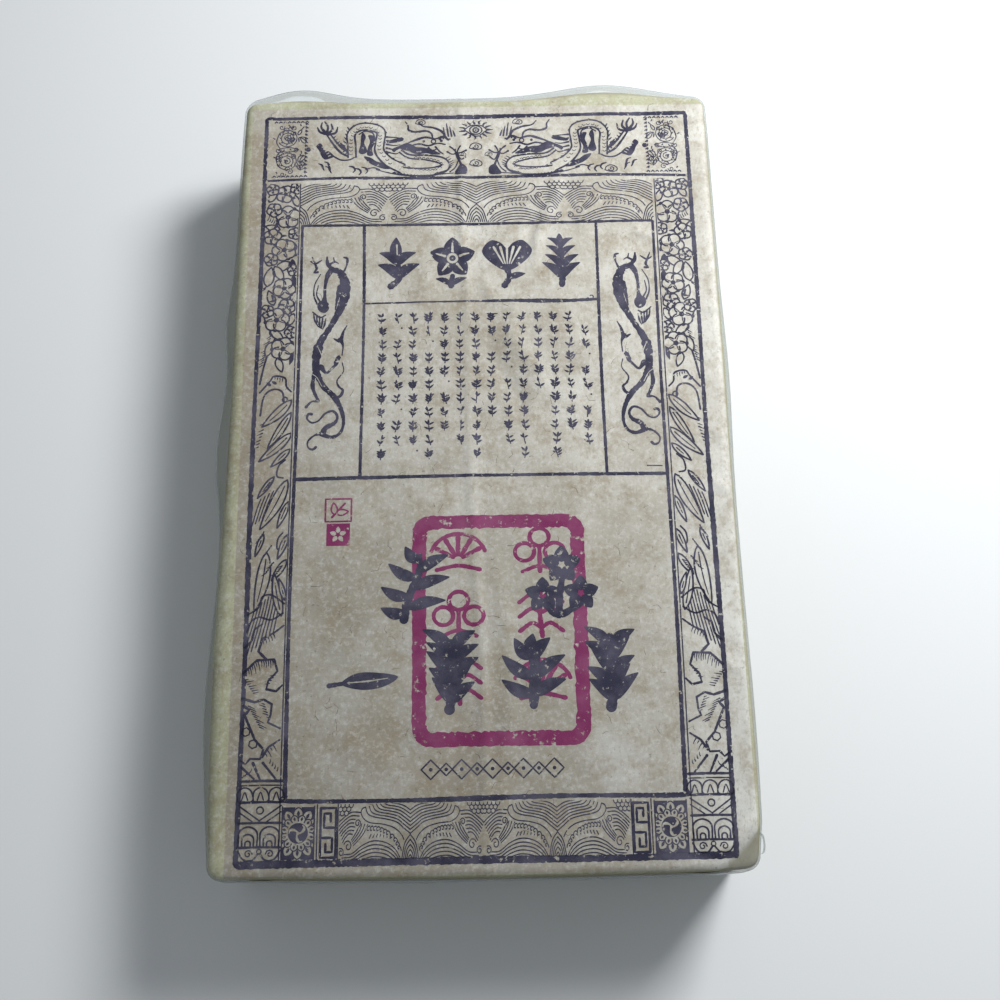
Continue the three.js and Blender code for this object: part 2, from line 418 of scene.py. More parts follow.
def blade(root, tip, width, bend=0.0, line=0.45, vein=True):
    """A long leaf with a bent spine, drawn as an outline that hides what lies under it."""
    root, tip = np.array(root, float), np.array(tip, float)
    run = tip - root
    across = np.array([-run[1], run[0]]) / np.hypot(*run)
    t = np.linspace(0, 1, max(8, math.ceil(np.hypot(*run) / 0.9)))[:, None]
    spine = root + run * t + across * bend * np.sin(np.pi * t)
    half = width / 2 * np.sin(np.pi * t ** 0.8) ** 0.8
    left, right = spine + across * half, spine - across * half
    drawing = [(np.concatenate([left, right[::-1]]), False)]
    drawing += ribbon(left, (line,)) + ribbon(right, (line,))
    if vein:
        drawing += ribbon(spine[2:-3], (line * 0.8, line * 0.5))
    return drawing


def leaf(x, y, length, width, turn, line=0.4):
    return placed(blade((0, 0), (length, 0), width, 0, line, vein=False), x, y, 1, turn)


def brush_leaf(x, y, length, width, turn, bend=0.0):
    """One press of a brush: a solid leaf shape."""
    t = np.linspace(0, 1, 9)
    half = width / 2 * np.sin(np.pi * t ** 0.75) ** 0.8
    spine = bend * np.sin(np.pi * t)
    outline = np.concatenate([np.stack([t * length, spine + half], 1),
                              np.stack([t * length, spine - half], 1)[-2:0:-1]])
    return placed([(curve(outline, closed=True), True)], x, y, 1, turn)


# ---------------------------------------------------------------- frame rules
def frame_rules():
    """The heavy outer frame, the rules between the panels and the columns' inner lines."""
    drawing = []
    for side in (-1, 1):
        x = side * FRAME_X
        drawing += stroke([(x, -110), (x + 0.25, -60), (x - 0.15, 0), (x + 0.1, 55), (side * 64.4, 110)],
                          1.4, 1.2, 1.5, 1.1, 1.3, 1.2)
    drawing += strokes(
        ([(-64, 110.5), (-30, 110.6), (-4, 110.2), (20, 110.5), (64, 110.7)], 1.0, 1.2, 1.5, 1.1, 1.4),
        ([(-64, -110.2), (-30, -110), (0, -109.9), (30, -110), (64, -109.7)], 2.0, 1.9, 1.9, 1.7, 1.9),
        ([(-64, 88.9), (-40, 89.4), (-12, 88.9), (12, 89.1), (38, 89.4), (64, 88.8)],
          0.7, 1.0, 0.9, 1.0, 0.8),
        ([(-52.5, 73.3), (0, 73.1), (52.2, 73.5)], 0.8, 0.9, 0.8))
    for side in (-1, 1):
        drawing += stroke([(side * COLUMN_X, 73.2), (side * 52.2, 20), (side * 52.6, -40),
                           (side * 52.2, -93.5)], 0.8, 0.9, 1.0, 1.2)
    drawing += strokes(
        ([(-33.9, 73), (-33.6, 40), (-34.0, -6.2)], 1.0, 0.8, 0.9),
        ([(35.4, 73), (35.1, 30), (35.4, -6.2)], 0.8, 1.0, 0.8),
        ([(-34, 47.3), (0, 47.6), (24, 47.4), (30, 47.6), (35.2, 47.8)], 0.5, 0.5, 0.6, 1.3, 0.9))
    drawing += spiral(33.0, 48.6, 1.0, 0.4, 0.8, 200, 0.4, 0.3)
    drawing += stroke([(-52.3, -6.5), (0, -6.2), (52.3, -6.4)], 1.1, 0.9, 1.0)
    drawing += bar([(46.8, -4), (51, -4.1)], 0.35)
    drawing += stroke([(-52, -93.2), (-51, -94.4), (-20, -94.7), (20, -94.2), (51, -94.5), (52, -93.2)],
                      1.2, 1.0, 1.4, 1.1, 1.3)
    return drawing + chips()


def chips():
    """Bits of paper showing through the worn rules."""
    rng = np.random.default_rng(17)
    drawing = []
    for x in np.concatenate([rng.uniform(-48, -27, 12), rng.uniform(-64, -36, 5)]):
        drawing += placed(fill([(-0.8, 0), (-0.3, -0.5), (0.1, -0.15), (0.5, -0.6), (0.9, 0.1), (0, 0.35)],
                               False), x, -109.0 + rng.uniform(-0.1, 0.25), rng.uniform(0.5, 0.9))
    for y in np.concatenate([rng.uniform(88, 110, 14), rng.uniform(-108, 80, 14)]):
        drawing += dot(-63.7 + rng.uniform(-0.1, 0.3), y, rng.uniform(0.2, 0.42), 1.8, False)
    for x in rng.uniform(-62, 62, 34):
        drawing += dot(x, 109.9 + rng.uniform(-0.2, 0.1), rng.uniform(0.15, 0.4), 0.7, False)
    for x, y in [(-52.4, 49), (-52.5, 27), (52.4, 47), (52.3, -20), (-64.4, 38), (64.3, 44), (64.3, 12),
                 (8, 89)]:
        drawing += dot(x, y, 0.55, 0.35, False)
    return drawing


# ---------------------------------------------------------------- wave bands
def comma(x, y, size, turn):
    """A foam curl with its tail."""
    hook = [(0.1, 0.15), (0.5, 0.3), (0.2, 0.85), (-0.5, 0.85), (-0.9, 0.1), (-0.5, -0.8), (0.4, -1.5)]
    return placed(stroke(hook, 0.34 / size, 0.3 / size), x, y, size, turn)


def family(first, last, count, width=WAVE_LINE):
    """Lines that change evenly from one to another."""
    first, last = np.array(first, float), np.array(last, float)
    shares = np.linspace(0, 1, count)
    return strokes(*((first + (last - first) * share, width) for share in shares))


def half_wave():
    """Half a repeat of the wave pattern, from the axis of its arches at x = 0 to that of its fans."""
    sweep = [(15.9, 13), (15, 11.3), (12.7, 10.5), (8.8, 10), (4.9, 9.2), (2.5, 7.8), (-0.2, 6.2)]
    topmost = [(8.2, 14.4), (7.4, 14.1), (6.4, 13.9), (5.1, 13.8), (3.3, 13.5), (1.7, 13.0), (-0.2, 12.0)]
    hem = [(15.9, 13), (17.1, 12.5), (17.4, 11.4), (16.3, 10), (14.1, 9.1), (9.7, 8.7), (5.8, 7.8),
           (3.2, 6.2), (2.2, 4.8)]
    drawing = family(sweep, topmost, 7) + stroke(hem, WAVE_LINE)
    drawing += family([(17.5, 11.7), (21, 11.7), (24.2, 10), (26, 8.7)],
                      [(20.4, 6.3), (21.6, 6.4), (22.8, 5.6), (23.8, 4.3)], 7)
    drawing += family([(15, 8.7), (16.2, 6.8), (17.9, 5.1), (20, 3.6)],
                      [(18.2, 9), (18.5, 7.7), (19.3, 6.5), (20.7, 4.9)], 4)
    drawing += dot(18.6, 9, 1.25, inked=False) + spiral(18.6, 9, 1.15, 0.35, -1.3, 250, WAVE_LINE)
    drawing += fish_scales()
    drawing += fill([(26, 6.6), (24.1, 5.5), (25, 3.8), (25.6, 2.4), (27, 2.4), (27, 6.6)], False)
    drawing += family([(24, 1.4), (20.5, 1.6), (17, 3.5), (13.1, 4.6), (8.8, 4.2), (5.3, 2.5), (2.9, -0.6)],
                      [(24, -2), (20.5, -1.3), (17, 0), (13.1, 0.8), (8.8, 0.4), (6.2, -0.8), (4, -2)], 5)
    for x, y, size, start in [(24.4, 1.9, 1.1, 60), (21.9, 3.4, 1.5, 20)]:
        drawing += dot(x, y, size, inked=False) + spiral(x, y, size, 0.35, 1.2, start, WAVE_LINE)
    return drawing + foam() + nested_arches()


def fish_scales():
    drawing = []
    for row in range(3):
        for x in np.arange(21 + 0.85 * row, 26.6, 1.45):
            y = 13.7 - 1.0 * row
            drawing += [(circle(x, y, 0.8, 180, 180), False)] + ring(x, y, 0.8, 0.3, 180, 180)
    return drawing


def foam():
    """A chain of foam curls under the sweep, smaller towards the arches."""
    drawing = []
    for k, (x, y) in enumerate(curve([(14.6, 7.1), (11.2, 7.1), (7.8, 6.2), (5.2, 4.6), (3.9, 2.7)], 1.6)):
        size = 1.2 - 0.06 * k
        drawing += dot(x, y + 0.2, size, inked=False) + comma(x, y, size, -18 - 5 * k)
    return drawing


def nested_arches():
    drawing = []
    for i in range(5):
        rise, foot = 6.1 - 1.25 * i, 3.1 - 0.6 * i
        ogive = [(0, rise), (foot * 0.62, rise * 0.64), (foot, -0.4)]
        drawing += block([*ogive, (0, -0.4)], False) + stroke(ogive, WAVE_LINE)
    return drawing


def clipped(drawing, x0, x1, y0, y1):
    """Bare paper all round a panel, so that its pattern ends at the edges."""
    far = 30
    return drawing + [
        (np.array([(x0 - far, y0 - far), (x1 + far, y0 - far), (x1 + far, y0), (x0 - far, y0)]), False),
        (np.array([(x0 - far, y1), (x1 + far, y1), (x1 + far, y1 + far), (x0 - far, y1 + far)]), False),
        (np.array([(x0 - far, y0), (x0, y0), (x0, y1), (x0 - far, y1)]), False),
        (np.array([(x1, y0), (x1 + far, y0), (x1 + far, y1), (x1, y1)]), False),
    ]


def wave_band(x0, x1, y0, y1, axis, half_repeat):
    """The wave pattern mirrored again and again along a panel, with arches over the axis."""
    tile = half_wave()
    stretch, scale = half_repeat / WAVE_LONG, (y1 - y0) / WAVE_HIGH
    drawing = []
    for k in range(math.floor((x0 - axis) / half_repeat), math.ceil((x1 - axis) / half_repeat)):
        half = mirrored(tile, WAVE_LONG / 2) if k % 2 else tile
        start = axis + k * half_repeat
        moved = [(outline * (stretch, scale) + (start, y0), inked) for outline, inked in half]
        drawing.append(clipped(moved, max(start, x0), min(start + half_repeat, x1), y0, y1))
    return drawing


# ---------------------------------------------------------------- dragons
def scaled_body(spine, *widths, line=0.5, spines=0):
    """A tube drawn as two lines with bare paper between, and small fins along its outer side."""
    path = curve(spine)
    walked = np.concatenate([[0], np.cumsum(np.hypot(*np.diff(path, axis=0).T))])
    width = np.interp(walked / walked[-1], np.linspace(0, 1, len(widths)), widths)
    ahead = np.gradient(path, axis=0)
    across = np.stack([-ahead[:, 1], ahead[:, 0]], 1) / np.hypot(*ahead.T)[:, None]
    left, right = path + across * width[:, None] / 2, path - across * width[:, None] / 2
    drawing = []
    for i in range(3, len(path) - 3, 5) if spines else []:
        side = left if spines > 0 else right
        drawing += ribbon(np.stack([side[i], side[i] + (side[i] - path[i]) * 0.35 + ahead[i]]), (0.6, 0.15))
    drawing += [(np.concatenate([left, right[::-1]]), False)]
    return drawing + ribbon(left, (line,)) + ribbon(right, (line * 1.2,))


def facing_dragon():
    """The top panel's left dragon, looking towards the pearl."""
    body = raised_claw() + hind_feet() + dragon_body() + flames()
    return body + scales_and_fur() + dragon_head() + dragon_mane() + front_claw()


def raised_claw():
    """The lifted hind leg with its spread claw, and the tail's tuft."""
    drawing = []
    for finger in [[(-46, 104.8), (-48, 105.6), (-48.8, 107.2)],
                   [(-46, 104.9), (-47.6, 107.2), (-47.4, 108.9)],
                   [(-45.9, 105), (-45.6, 107.4), (-46.6, 109.2)],
                   [(-45.6, 104.9), (-44.2, 106.4), (-44.6, 108.4)],
                   [(-45.4, 104.6), (-43.2, 105.2), (-42.6, 107.2)]]:
        drawing += stroke(finger, 0.9, 0.8, 0.4)
    drawing += strokes(
        ([(-45.8, 104.4), (-43.8, 101.2), (-41.6, 98.4), (-39.2, 96.9)], 0.5, 0.7, 0.6),
        ([(-44.7, 104.6), (-42.6, 101.6), (-40.6, 99.4), (-38.8, 98.6)], 0.5, 0.7, 0.8),
        ([(-41.6, 101.6), (-40.4, 99.8), (-39.3, 98.2)], 0.4, 1.0, 0.5),
        ([(-43.9, 97.2), (-41.4, 95.7), (-38.6, 95.8), (-36.8, 97)], 0.5))
    drawing += fill([(-49, 100.6), (-47.9, 101.6), (-47, 100.6), (-46.6, 99.2), (-45, 98.7), (-43.5, 97),
                     (-44.8, 96.2), (-46.3, 95.9), (-47.4, 97.2), (-48.1, 99)])
    return drawing


def hind_feet():
    """The two feet on the ground and the line of the belly."""
    drawing = []
    for x, y in [(-46.8, 93.6), (-44.9, 94.2), (-44.6, 92.6)]:
        drawing += stroke([(x - 1.4, y + 0.9), (x - 0.4, y + 0.5), (x, y - 0.6), (x + 0.4, y - 1.4)], 0.3,
                          0.7, 0.3)
    for x, y in [(-37.2, 92.6), (-35.4, 91.8), (-33.4, 92.2)]:
        drawing += stroke([(x - 1.6, y + 0.9), (x - 0.3, y + 0.5), (x + 0.2, y - 0.5), (x - 0.4, y - 1.3)],
                          0.3, 0.7, 0.3)
    drawing += strokes(
        ([(-33.8, 92.3), (-31.5, 92.9), (-29.5, 92.2)], 0.4),
        ([(-30.6, 92.2), (-26, 90.8), (-21, 89.9), (-14, 90.0), (-6, 90.6)], 0.3, 0.5, 0.3))
    return drawing


def dragon_body():
    """The tail's curl and the arched trunk, with the dark patches round them."""
    drawing = fill([(-34.4, 96.8), (-32.4, 96.4), (-30.4, 95), (-27.8, 94.2), (-25.4, 92.6), (-28, 92.4),
                     (-31.2, 93.6), (-33.2, 95)])
    drawing += scaled_body([(-25.2, 92.2), (-20, 91.2), (-13.5, 91.2), (-9.6, 92.6), (-10.6, 94.8),
                            (-15, 96), (-20.5, 96.6), (-23.2, 98.4)], 2.4, 2.6, 2.6, 2.2, 1.4, 1.0)
    drawing += scaled_body([(-38, 96.6), (-38.2, 101), (-38.4, 104.6), (-36.2, 107), (-32.6, 107.2),
                            (-29.4, 105.6), (-29.6, 101.6), (-29.6, 98.4), (-26.8, 94.9), (-22.6, 92.4)],
                           2.4, 2.4, 2.4, 2.6, 2.6, 3.0, 3.2, spines=1)
    drawing += fill([(-35.4, 103.9), (-34.8, 105.2), (-33.9, 103.6), (-34.4, 101.6), (-33.4, 98.6),
                     (-34.8, 97.6), (-36, 98.4), (-35.5, 101)])
    drawing += fill([(-33.2, 104.2), (-31.4, 103.9), (-31.2, 101.4), (-32, 99.4), (-31.6, 97.2),
                     (-33.4, 97.3), (-33.2, 100), (-32.6, 102)])
    drawing += stroke([(-36, 104.6), (-34, 105.8), (-31.8, 105), (-31.2, 102.8)], 0.4, 0.6, 0.4)
    return drawing


def flames():
    """The flames behind the neck and over the snout."""
    drawing = []
    for i in range(5):
        drawing += stroke([(-27.6, 103.6 - 1.3 * i), (-25.4 + 0.2 * i, 103.4 - 1.45 * i),
                           (-23.4, 103.2 - 1.2 * i)], 0.6, 0.4, 0.2)
    drawing += fill([(-27.4, 102), (-25.4, 102.8), (-22.8, 103.4), (-22.4, 102.3), (-24.6, 101.6),
                     (-27, 101.4)])
    for x, tip in [(-10.2, 106.6), (-9.2, 108), (-8.2, 106.8), (-7.2, 105.4)]:
        drawing += stroke([(x + 0.6, 103.4), (x + 0.3, (tip + 103.4) / 2), (x, tip)], 0.5, 0.6, 0.25)
    return drawing


def scales_and_fur():
    """Short marks along the facing dragon's body, belly and legs."""
    drawing = []
    for x, y in curve([(-38.4, 98), (-38.3, 103), (-36.4, 106.8), (-32.4, 107.2), (-29.6, 104.4),
                       (-29.7, 99.6), (-26.4, 94.6)], 1.5):
        drawing += ring(x, y, 0.5, 0.22, 200, 140)
    for x, y in curve([(-22, 93), (-17, 91.6), (-12.6, 91.6), (-10.6, 93.2), (-13, 95), (-18.6, 96)], 1.4):
        drawing += ring(x, y, 0.45, 0.22, 20, 140)
    for k, (x, y) in enumerate(curve([(-25, 91.2), (-20, 90.2), (-14, 90), (-9.6, 91.2), (-8.2, 93.4),
                                      (-9.6, 95.4)], 1.1)):
        drawing += stroke([(x, y), (x + 0.5, y - 0.5 if k < 12 else y + 0.4),
                           (x + 1.2, y - 0.6 if k < 12 else y + 0.8)], 0.4, 0.2)
    for k in range(7):
        drawing += strokes(
            ([(-43.6 + 0.6 * k, 103.6 - 1.0 * k), (-43.1 + 0.6 * k, 104.0 - 0.9 * k)], 0.45, 0.2),
            ([(-40.6 + 0.25 * k, 99.4 + 1.15 * k), (-41.4 + 0.3 * k, 100 + 1.2 * k)], 0.6, 0.2))
    for k in range(6):
        drawing += stroke([(-21.6 + 1.4 * k, 98.2 - 0.25 * k), (-21.2 + 1.4 * k, 99 - 0.3 * k)], 0.3,
                          inked=False)
    for k in range(5):
        drawing += stroke([(-47.2 + 0.5 * k, 100.2 - 0.8 * k), (-46.5 + 0.5 * k, 100.6 - 0.8 * k)], 0.3,
                          inked=False)
    return drawing


def dragon_head():
    """Snout, jaw and eye, as short strokes."""
    drawing = fill([(-19.6, 101.3), (-17, 102.7), (-13.6, 103.2), (-10.6, 103.4), (-9, 101.8),
                    (-10.6, 100.6), (-13, 99.8), (-16.4, 100)], False)
    drawing += strokes(
        ([(-21.4, 101.2), (-18.4, 102.4), (-15.6, 103.2), (-12.6, 102.6), (-10.4, 103.4), (-8.6, 102.2)],
          0.4, 0.8, 0.5, 0.7),
        ([(-20.6, 100.2), (-17.6, 100.9), (-14.8, 100.2), (-12, 101), (-9.6, 100.6)], 0.5, 0.6, 0.5),
        ([(-12.6, 99.8), (-11.4, 98.2), (-10.2, 97.2)], 0.6, 0.4),
        ([(-14.8, 99.6), (-13.6, 98.6), (-12.4, 98.8)], 0.5, 0.4))
    drawing += ring(-13.2, 101.7, 0.7, 0.4) + dot(-16.2, 101.8, 0.45) + dot(-10.8, 101.9, 0.5)
    drawing += dot(-8.2, 102.4, 0.3)
    drawing += stroke([(-11.4, 102.4), (-10.2, 103.4), (-9.2, 103.1)], 0.6)
    return drawing


def dragon_mane():
    """The whiskers and the dark mane under the head."""
    drawing = strokes(
        ([(-21.9, 109), (-21, 107.6), (-20.8, 105.9), (-18.6, 105.2), (-15.6, 105.5), (-13.9, 104.6),
          (-13.4, 102.8)], 0.3, 0.7, 0.7, 0.5),
        ([(-17.8, 108.7), (-16.4, 107.2), (-13.4, 106.6), (-10.9, 105.4), (-9.9, 104), (-10.2, 102.6)],
          0.3, 0.6, 0.8, 0.5))
    drawing += fill([(-25.8, 99.3), (-23.2, 100.6), (-21.4, 101.3), (-19.5, 100.6), (-18.4, 99.8),
                     (-16.2, 99.6), (-13.8, 98.9), (-11, 97.2), (-13.4, 97.1), (-15.4, 97.6),
                     (-17.5, 97.3), (-19.2, 97.6), (-20.6, 98.4), (-22.2, 98.9), (-23.8, 99.4),
                     (-25.2, 98.2)])
    return drawing


def front_claw():
    """The foreleg that reaches up beside the pearl."""
    drawing = stroke([(-4.4, 91.8), (-5.2, 94.4), (-6.2, 96.6), (-6.6, 98.9)], 1.0, 0.6, 0.4)
    for tip in [(-9, 98), (-8.2, 99.8), (-5, 99.8), (-3.2, 98.4), (-3.4, 96)]:
        drawing += stroke([(-6.1, 97.4), ((tip[0] - 6.1) / 2, tip[1] - 0.9), tip], 0.5, 0.4, 0.6)
    drawing += stroke([(-8.2, 90.9), (-6.6, 92.4), (-5.6, 94.8)], 0.4)
    drawing += fill([(-6.8, 90.2), (-6, 92), (-4.9, 93.5), (-3.4, 92.9), (-2.9, 91.4), (-3.6, 90)])
    return drawing


def pearl_and_clouds():
    drawing = ring(-0.2, 105.5, 1.9, 0.4, squash=0.8) + ring(-0.2, 105.5, 0.85, 0.5) + dot(-0.2, 105.5, 0.3)
    drawing += strokes(
        ([(-3.6, 105.6), (-1.8, 107.1), (1.4, 107.1), (3.2, 105.6)], 0.4),
        ([(-3.6, 105.4), (0, 103.3), (3.2, 105.4)], 0.4))
    for angle in range(0, 360, 24):
        c, s = math.cos(math.radians(angle)), math.sin(math.radians(angle))
        drawing += stroke([(-0.2 + 3.5 * c, 105.6 + 2.3 * s), (-0.2 + 4.2 * c - 0.4 * s, 105.6 + 3.0 * s),
                           (-0.2 + 5.2 * c, 105.6 + 3.4 * s)], 0.7, 0.5, 0.2)
    for x, y, size in [(-0.3, 99.8, 1.0), (-0.3, 94, 1.0), (-4.4, 97, 0.6), (-17.2, 108.7, 0.8),
                       (12.6, 108.4, 0.8), (40.8, 91.6, 1.0), (3.6, 97, 0.6)]:
        drawing += placed(cloud_curl(), x, y, size)
    return drawing


def cloud_curl():
    drawing = outlined([(-1.9, -0.6), (-1.5, 0.5), (-0.4, 1.1), (0.8, 0.9), (1.8, 0.1), (1.6, -0.9),
                        (0, -1.2)], 0.32)
    return drawing + spiral(0.1, -0.1, 1.0, 0.2, 1.2, 200, 0.34, 0.3)


def corner_square(side):
    """Fine swirls in the square at a top corner, facing the middle."""
    drawing = []
    rng = np.random.default_rng(5)
    for x in np.arange(51.6, 62, 1.35):
        for y in (90.2, 109.2):
            drawing += stroke([(x, y), (x + 0.5, y + 0.35), (x + 0.9, y - 0.15)], 0.35, 0.5, 0.3)
    for y in np.arange(91.6, 108.6, 1.3):
        drawing += stroke([(51.7, y), (52.4, y + 0.5), (52.2, y - 0.2)], 0.35, 0.5, 0.3)
    for x, y in [(57.9, 103.6), (57.9, 95.6)]:
        tall = 1 if y > 99 else -1
        drawing += ring(x, y, 2.9, 0.3, 40 * tall, 290 * tall) + ring(x, y, 1.9, 0.28)
        drawing += spiral(x, y, 1.3, 0.2, 1.3, 90, 0.3, 0.3)
        for angle in range(0, 360, 45):
            c, s = math.cos(math.radians(angle)), math.sin(math.radians(angle))
            drawing += stroke([(x + 2.0 * c, y + 2.0 * s), (x + 2.4 * c - 0.3 * s, y + 2.4 * s + 0.3 * c)],
                              0.45, 0.25)
        drawing += stroke([(x + 2.6, y + 1.6 * tall), (x + 3.3, y - 1.2 * tall),
                           (x + 2.4, y - 3.2 * tall)], 0.4, 0.25)
        drawing += placed(stroke([(-1.4, 0.6), (0, 1.2), (1.2, 0), (0.2, -1)], 0.35, 0.3), x - 4.4,
                          y - 0.6 * tall, 1, 40 * tall)
        drawing += leaf(x - 5.6, y - 1.8 * tall, 2.6, 1.0, 50 * tall, 0.3)
        drawing += leaf(x - 3.2, y + 1.2 * tall, 2.2, 0.9, 120 * tall, 0.3)
    for _ in range(26):
        x, y = rng.uniform(53.4, 61.8), rng.uniform(91.2, 108)
        drawing += stroke([(x, y), (x + rng.uniform(-0.7, 0.7), y + rng.uniform(0.3, 0.8))], 0.3, 0.4)
    for x, y in rng.uniform((53, 91), (61.6, 108.6), (22, 2)):
        drawing += placed(spiral(0, 0, 0.95, 0.2, rng.choice([-1.1, 1.1]), rng.uniform(0, 360), 0.26), x, y)
    drawing += stroke([(54.4, 99.6), (57.4, 100.4), (60.6, 99.6), (57.4, 98.8), (54.4, 99.6)], 0.3)
    drawing += dot(51.4, 99.5, 0.8)
    return drawing if side > 0 else mirrored(drawing)


def side_dragon():
    """The slim dragon in the left panel beside the middle one, hanging head down with its tail curled."""
    drawing = strokes(
        ([(-43.6, 58.6), (-41, 57.8), (-39.4, 54.4), (-39.3, 50), (-40.6, 45.6), (-43.4, 40), (-46.2, 35),
          (-47.2, 30), (-46.9, 26), (-45, 21.6), (-41.8, 18.2), (-39.8, 14.6), (-38.9, 10.6),
          (-39.7, 7.3), (-42, 5.9), (-44.6, 6.6)],
          1.4, 2.6, 3.0, 2.6, 2.0, 1.5, 1.9, 2.7, 2.4, 1.9, 1.6, 1.6, 1.2, 0.9, 0.9, 1.2),
        ([(-43.2, 58.8), (-44.6, 56.4), (-45.2, 52.8), (-45.2, 49.6), (-45.6, 46.8)],
          2.2, 1.2, 0.8, 1.0, 2.4),
        ([(-40.8, 53), (-41.4, 49.6), (-42, 45.6)], 1.6, 1.0, 0.3))
    drawing += slim_head() + slim_legs() + slim_tail()
    drawing += stroke([(-46.9, 34), (-45.8, 31.6), (-45.4, 29.6)], 0.25, inked=False)
    drawing += stroke([(-48.2, 25.4), (-46.8, 24.2), (-45.4, 21.6)], 0.25, inked=False)
    return drawing


def slim_head():
    """The slim dragon's snout, teeth, beard and horns."""
    drawing = fill([(-46.9, 48.2), (-45.4, 48.6), (-44, 47.6), (-43.9, 45.8), (-45, 44.6), (-46.6, 45.2),
                     (-47.3, 46.6)])
    drawing += strokes(
        ([(-47.4, 47.6), (-48.4, 50.4), (-48.2, 54), (-46.6, 57.2)], 0.6, 0.35, 0.3),
        ([(-46.6, 48.4), (-47.6, 50.6), (-47.2, 53.6)], 0.5, 0.3))
    for i in range(5):
        drawing += stroke([(-48.3 + 0.9 * i, 44.4 - 0.4 * i), (-47.9 + 0.7 * i, 42.2 - 0.4 * i),
                           (-46.8 + 0.3 * i, 40.2 - 0.2 * i)], 0.35, 0.6, 0.3)
    drawing += strokes(
        ([(-48.6, 45), (-46.4, 43.2), (-44.8, 43.9)], 0.4, 0.6, 0.4),
        ([(-49.2, 62.8), (-48.4, 60.8), (-47.8, 59), (-48.6, 57.8), (-47.4, 57.9)], 0.3, 0.6, 0.9, 0.5, 0.7),
        ([(-49.6, 61.4), (-48.2, 60.6), (-46.3, 61.8)], 0.4, 0.6, 0.3),
        ([(-44.8, 62.8), (-44.6, 60.6), (-43.6, 59.2)], 0.5, 1.0, 1.2),
        ([(-43.9, 60.4), (-42.4, 61.2), (-41.4, 60.6)], 0.8, 0.6, 0.3),
        ([(-42.6, 61.2), (-42.9, 62.6)], 0.5, 0.3),
        ([(-39.8, 62.6), (-38.8, 62.2), (-38.9, 60.2), (-39.6, 58.2)], 0.5, 0.9, 0.4, 0.6))
    return drawing


def slim_legs():
    return strokes(
        ([(-45.8, 27.6), (-44.2, 25.6), (-42.6, 26.9), (-41.2, 28.4)], 1.6, 0.9, 0.7, 1.0),
        ([(-41.4, 28.6), (-40.6, 30.6), (-40.2, 30.2)], 1.4, 1.3, 0.6),
        ([(-39.7, 31), (-39.5, 34), (-40.3, 36)], 0.35, 0.4, 1.6),
        ([(-42.2, 36.3), (-40.4, 35.6), (-39.5, 38.4), (-38.5, 40.4)], 0.4, 1.3, 0.8, 0.3),
        ([(-39.6, 28.6), (-39.2, 26), (-41, 23.2), (-40.4, 21.2), (-39.3, 20.2), (-39.8, 18.6),
          (-40.9, 17.8)], 0.3, 0.3, 0.5, 0.7, 1.0),
        ([(-47.6, 25.8), (-48, 21.6), (-47, 18.6), (-46.2, 17)], 1.2, 1.2, 1.0, 0.8),
        ([(-46.2, 17), (-48.2, 16.8), (-49.7, 15.2)], 0.8, 0.5, 0.9))


def slim_tail():
    return strokes(
        ([(-44.8, 7), (-43.9, 8.8), (-41.4, 10.2), (-40.7, 12.2), (-42, 13.8), (-44.2, 13.1), (-46, 11),
          (-47.9, 10.4), (-49.3, 11.6), (-49, 13), (-48, 13)], 2.0, 1.4, 0.8, 0.7, 0.6, 0.5, 0.5, 0.9),
        ([(-44.6, 7), (-47, 6.6), (-48.9, 4.8), (-48.8, 3), (-47.5, 2.3), (-46.6, 3)],
          1.0, 0.6, 0.5, 0.5, 0.8))


# ---------------------------------------------------------------- side columns
def blossom(x, y, radius, turn=0.0):
    """A plum blossom of five round petals with a dark eye, and dark notches between the petals."""
    drawing = []
    gaps = [turn + 36 + 72 * k for k in range(5)]
    for angle in gaps:
        drawing += dot(*polar(x, y, radius * 0.98, angle), radius * 0.24)
    for k in range(5):
        petal = polar(x, y, radius * 0.62, turn + 72 * k)
        drawing += dot(*petal, radius * 0.6, inked=False) + ring(*petal, radius * 0.56, 0.48)
    drawing += dot(x, y, radius * 0.42, inked=False) + dot(x, y, radius * 0.26)
    for angle in gaps:
        drawing += stroke([polar(x, y, radius * 0.3, angle), polar(x, y, radius * 0.75, angle)], 0.32, 0.2)
    return drawing


def hatching(start, end, count, length, turn, width=0.36):
    """Short parallel strokes set along a line."""
    c, s = math.cos(math.radians(turn)) * length, math.sin(math.radians(turn)) * length
    drawing = []
    for k, (x, y) in enumerate(np.linspace(start, end, count)):
        reach = 0.7 + 0.3 * math.sin(2.4 * k + x)
        drawing += stroke([(x, y), (x + c * reach * 0.5 + 0.1, y + s * reach * 0.5),
                           (x + c * reach, y + s * reach)], width, width * 0.4)
    return drawing


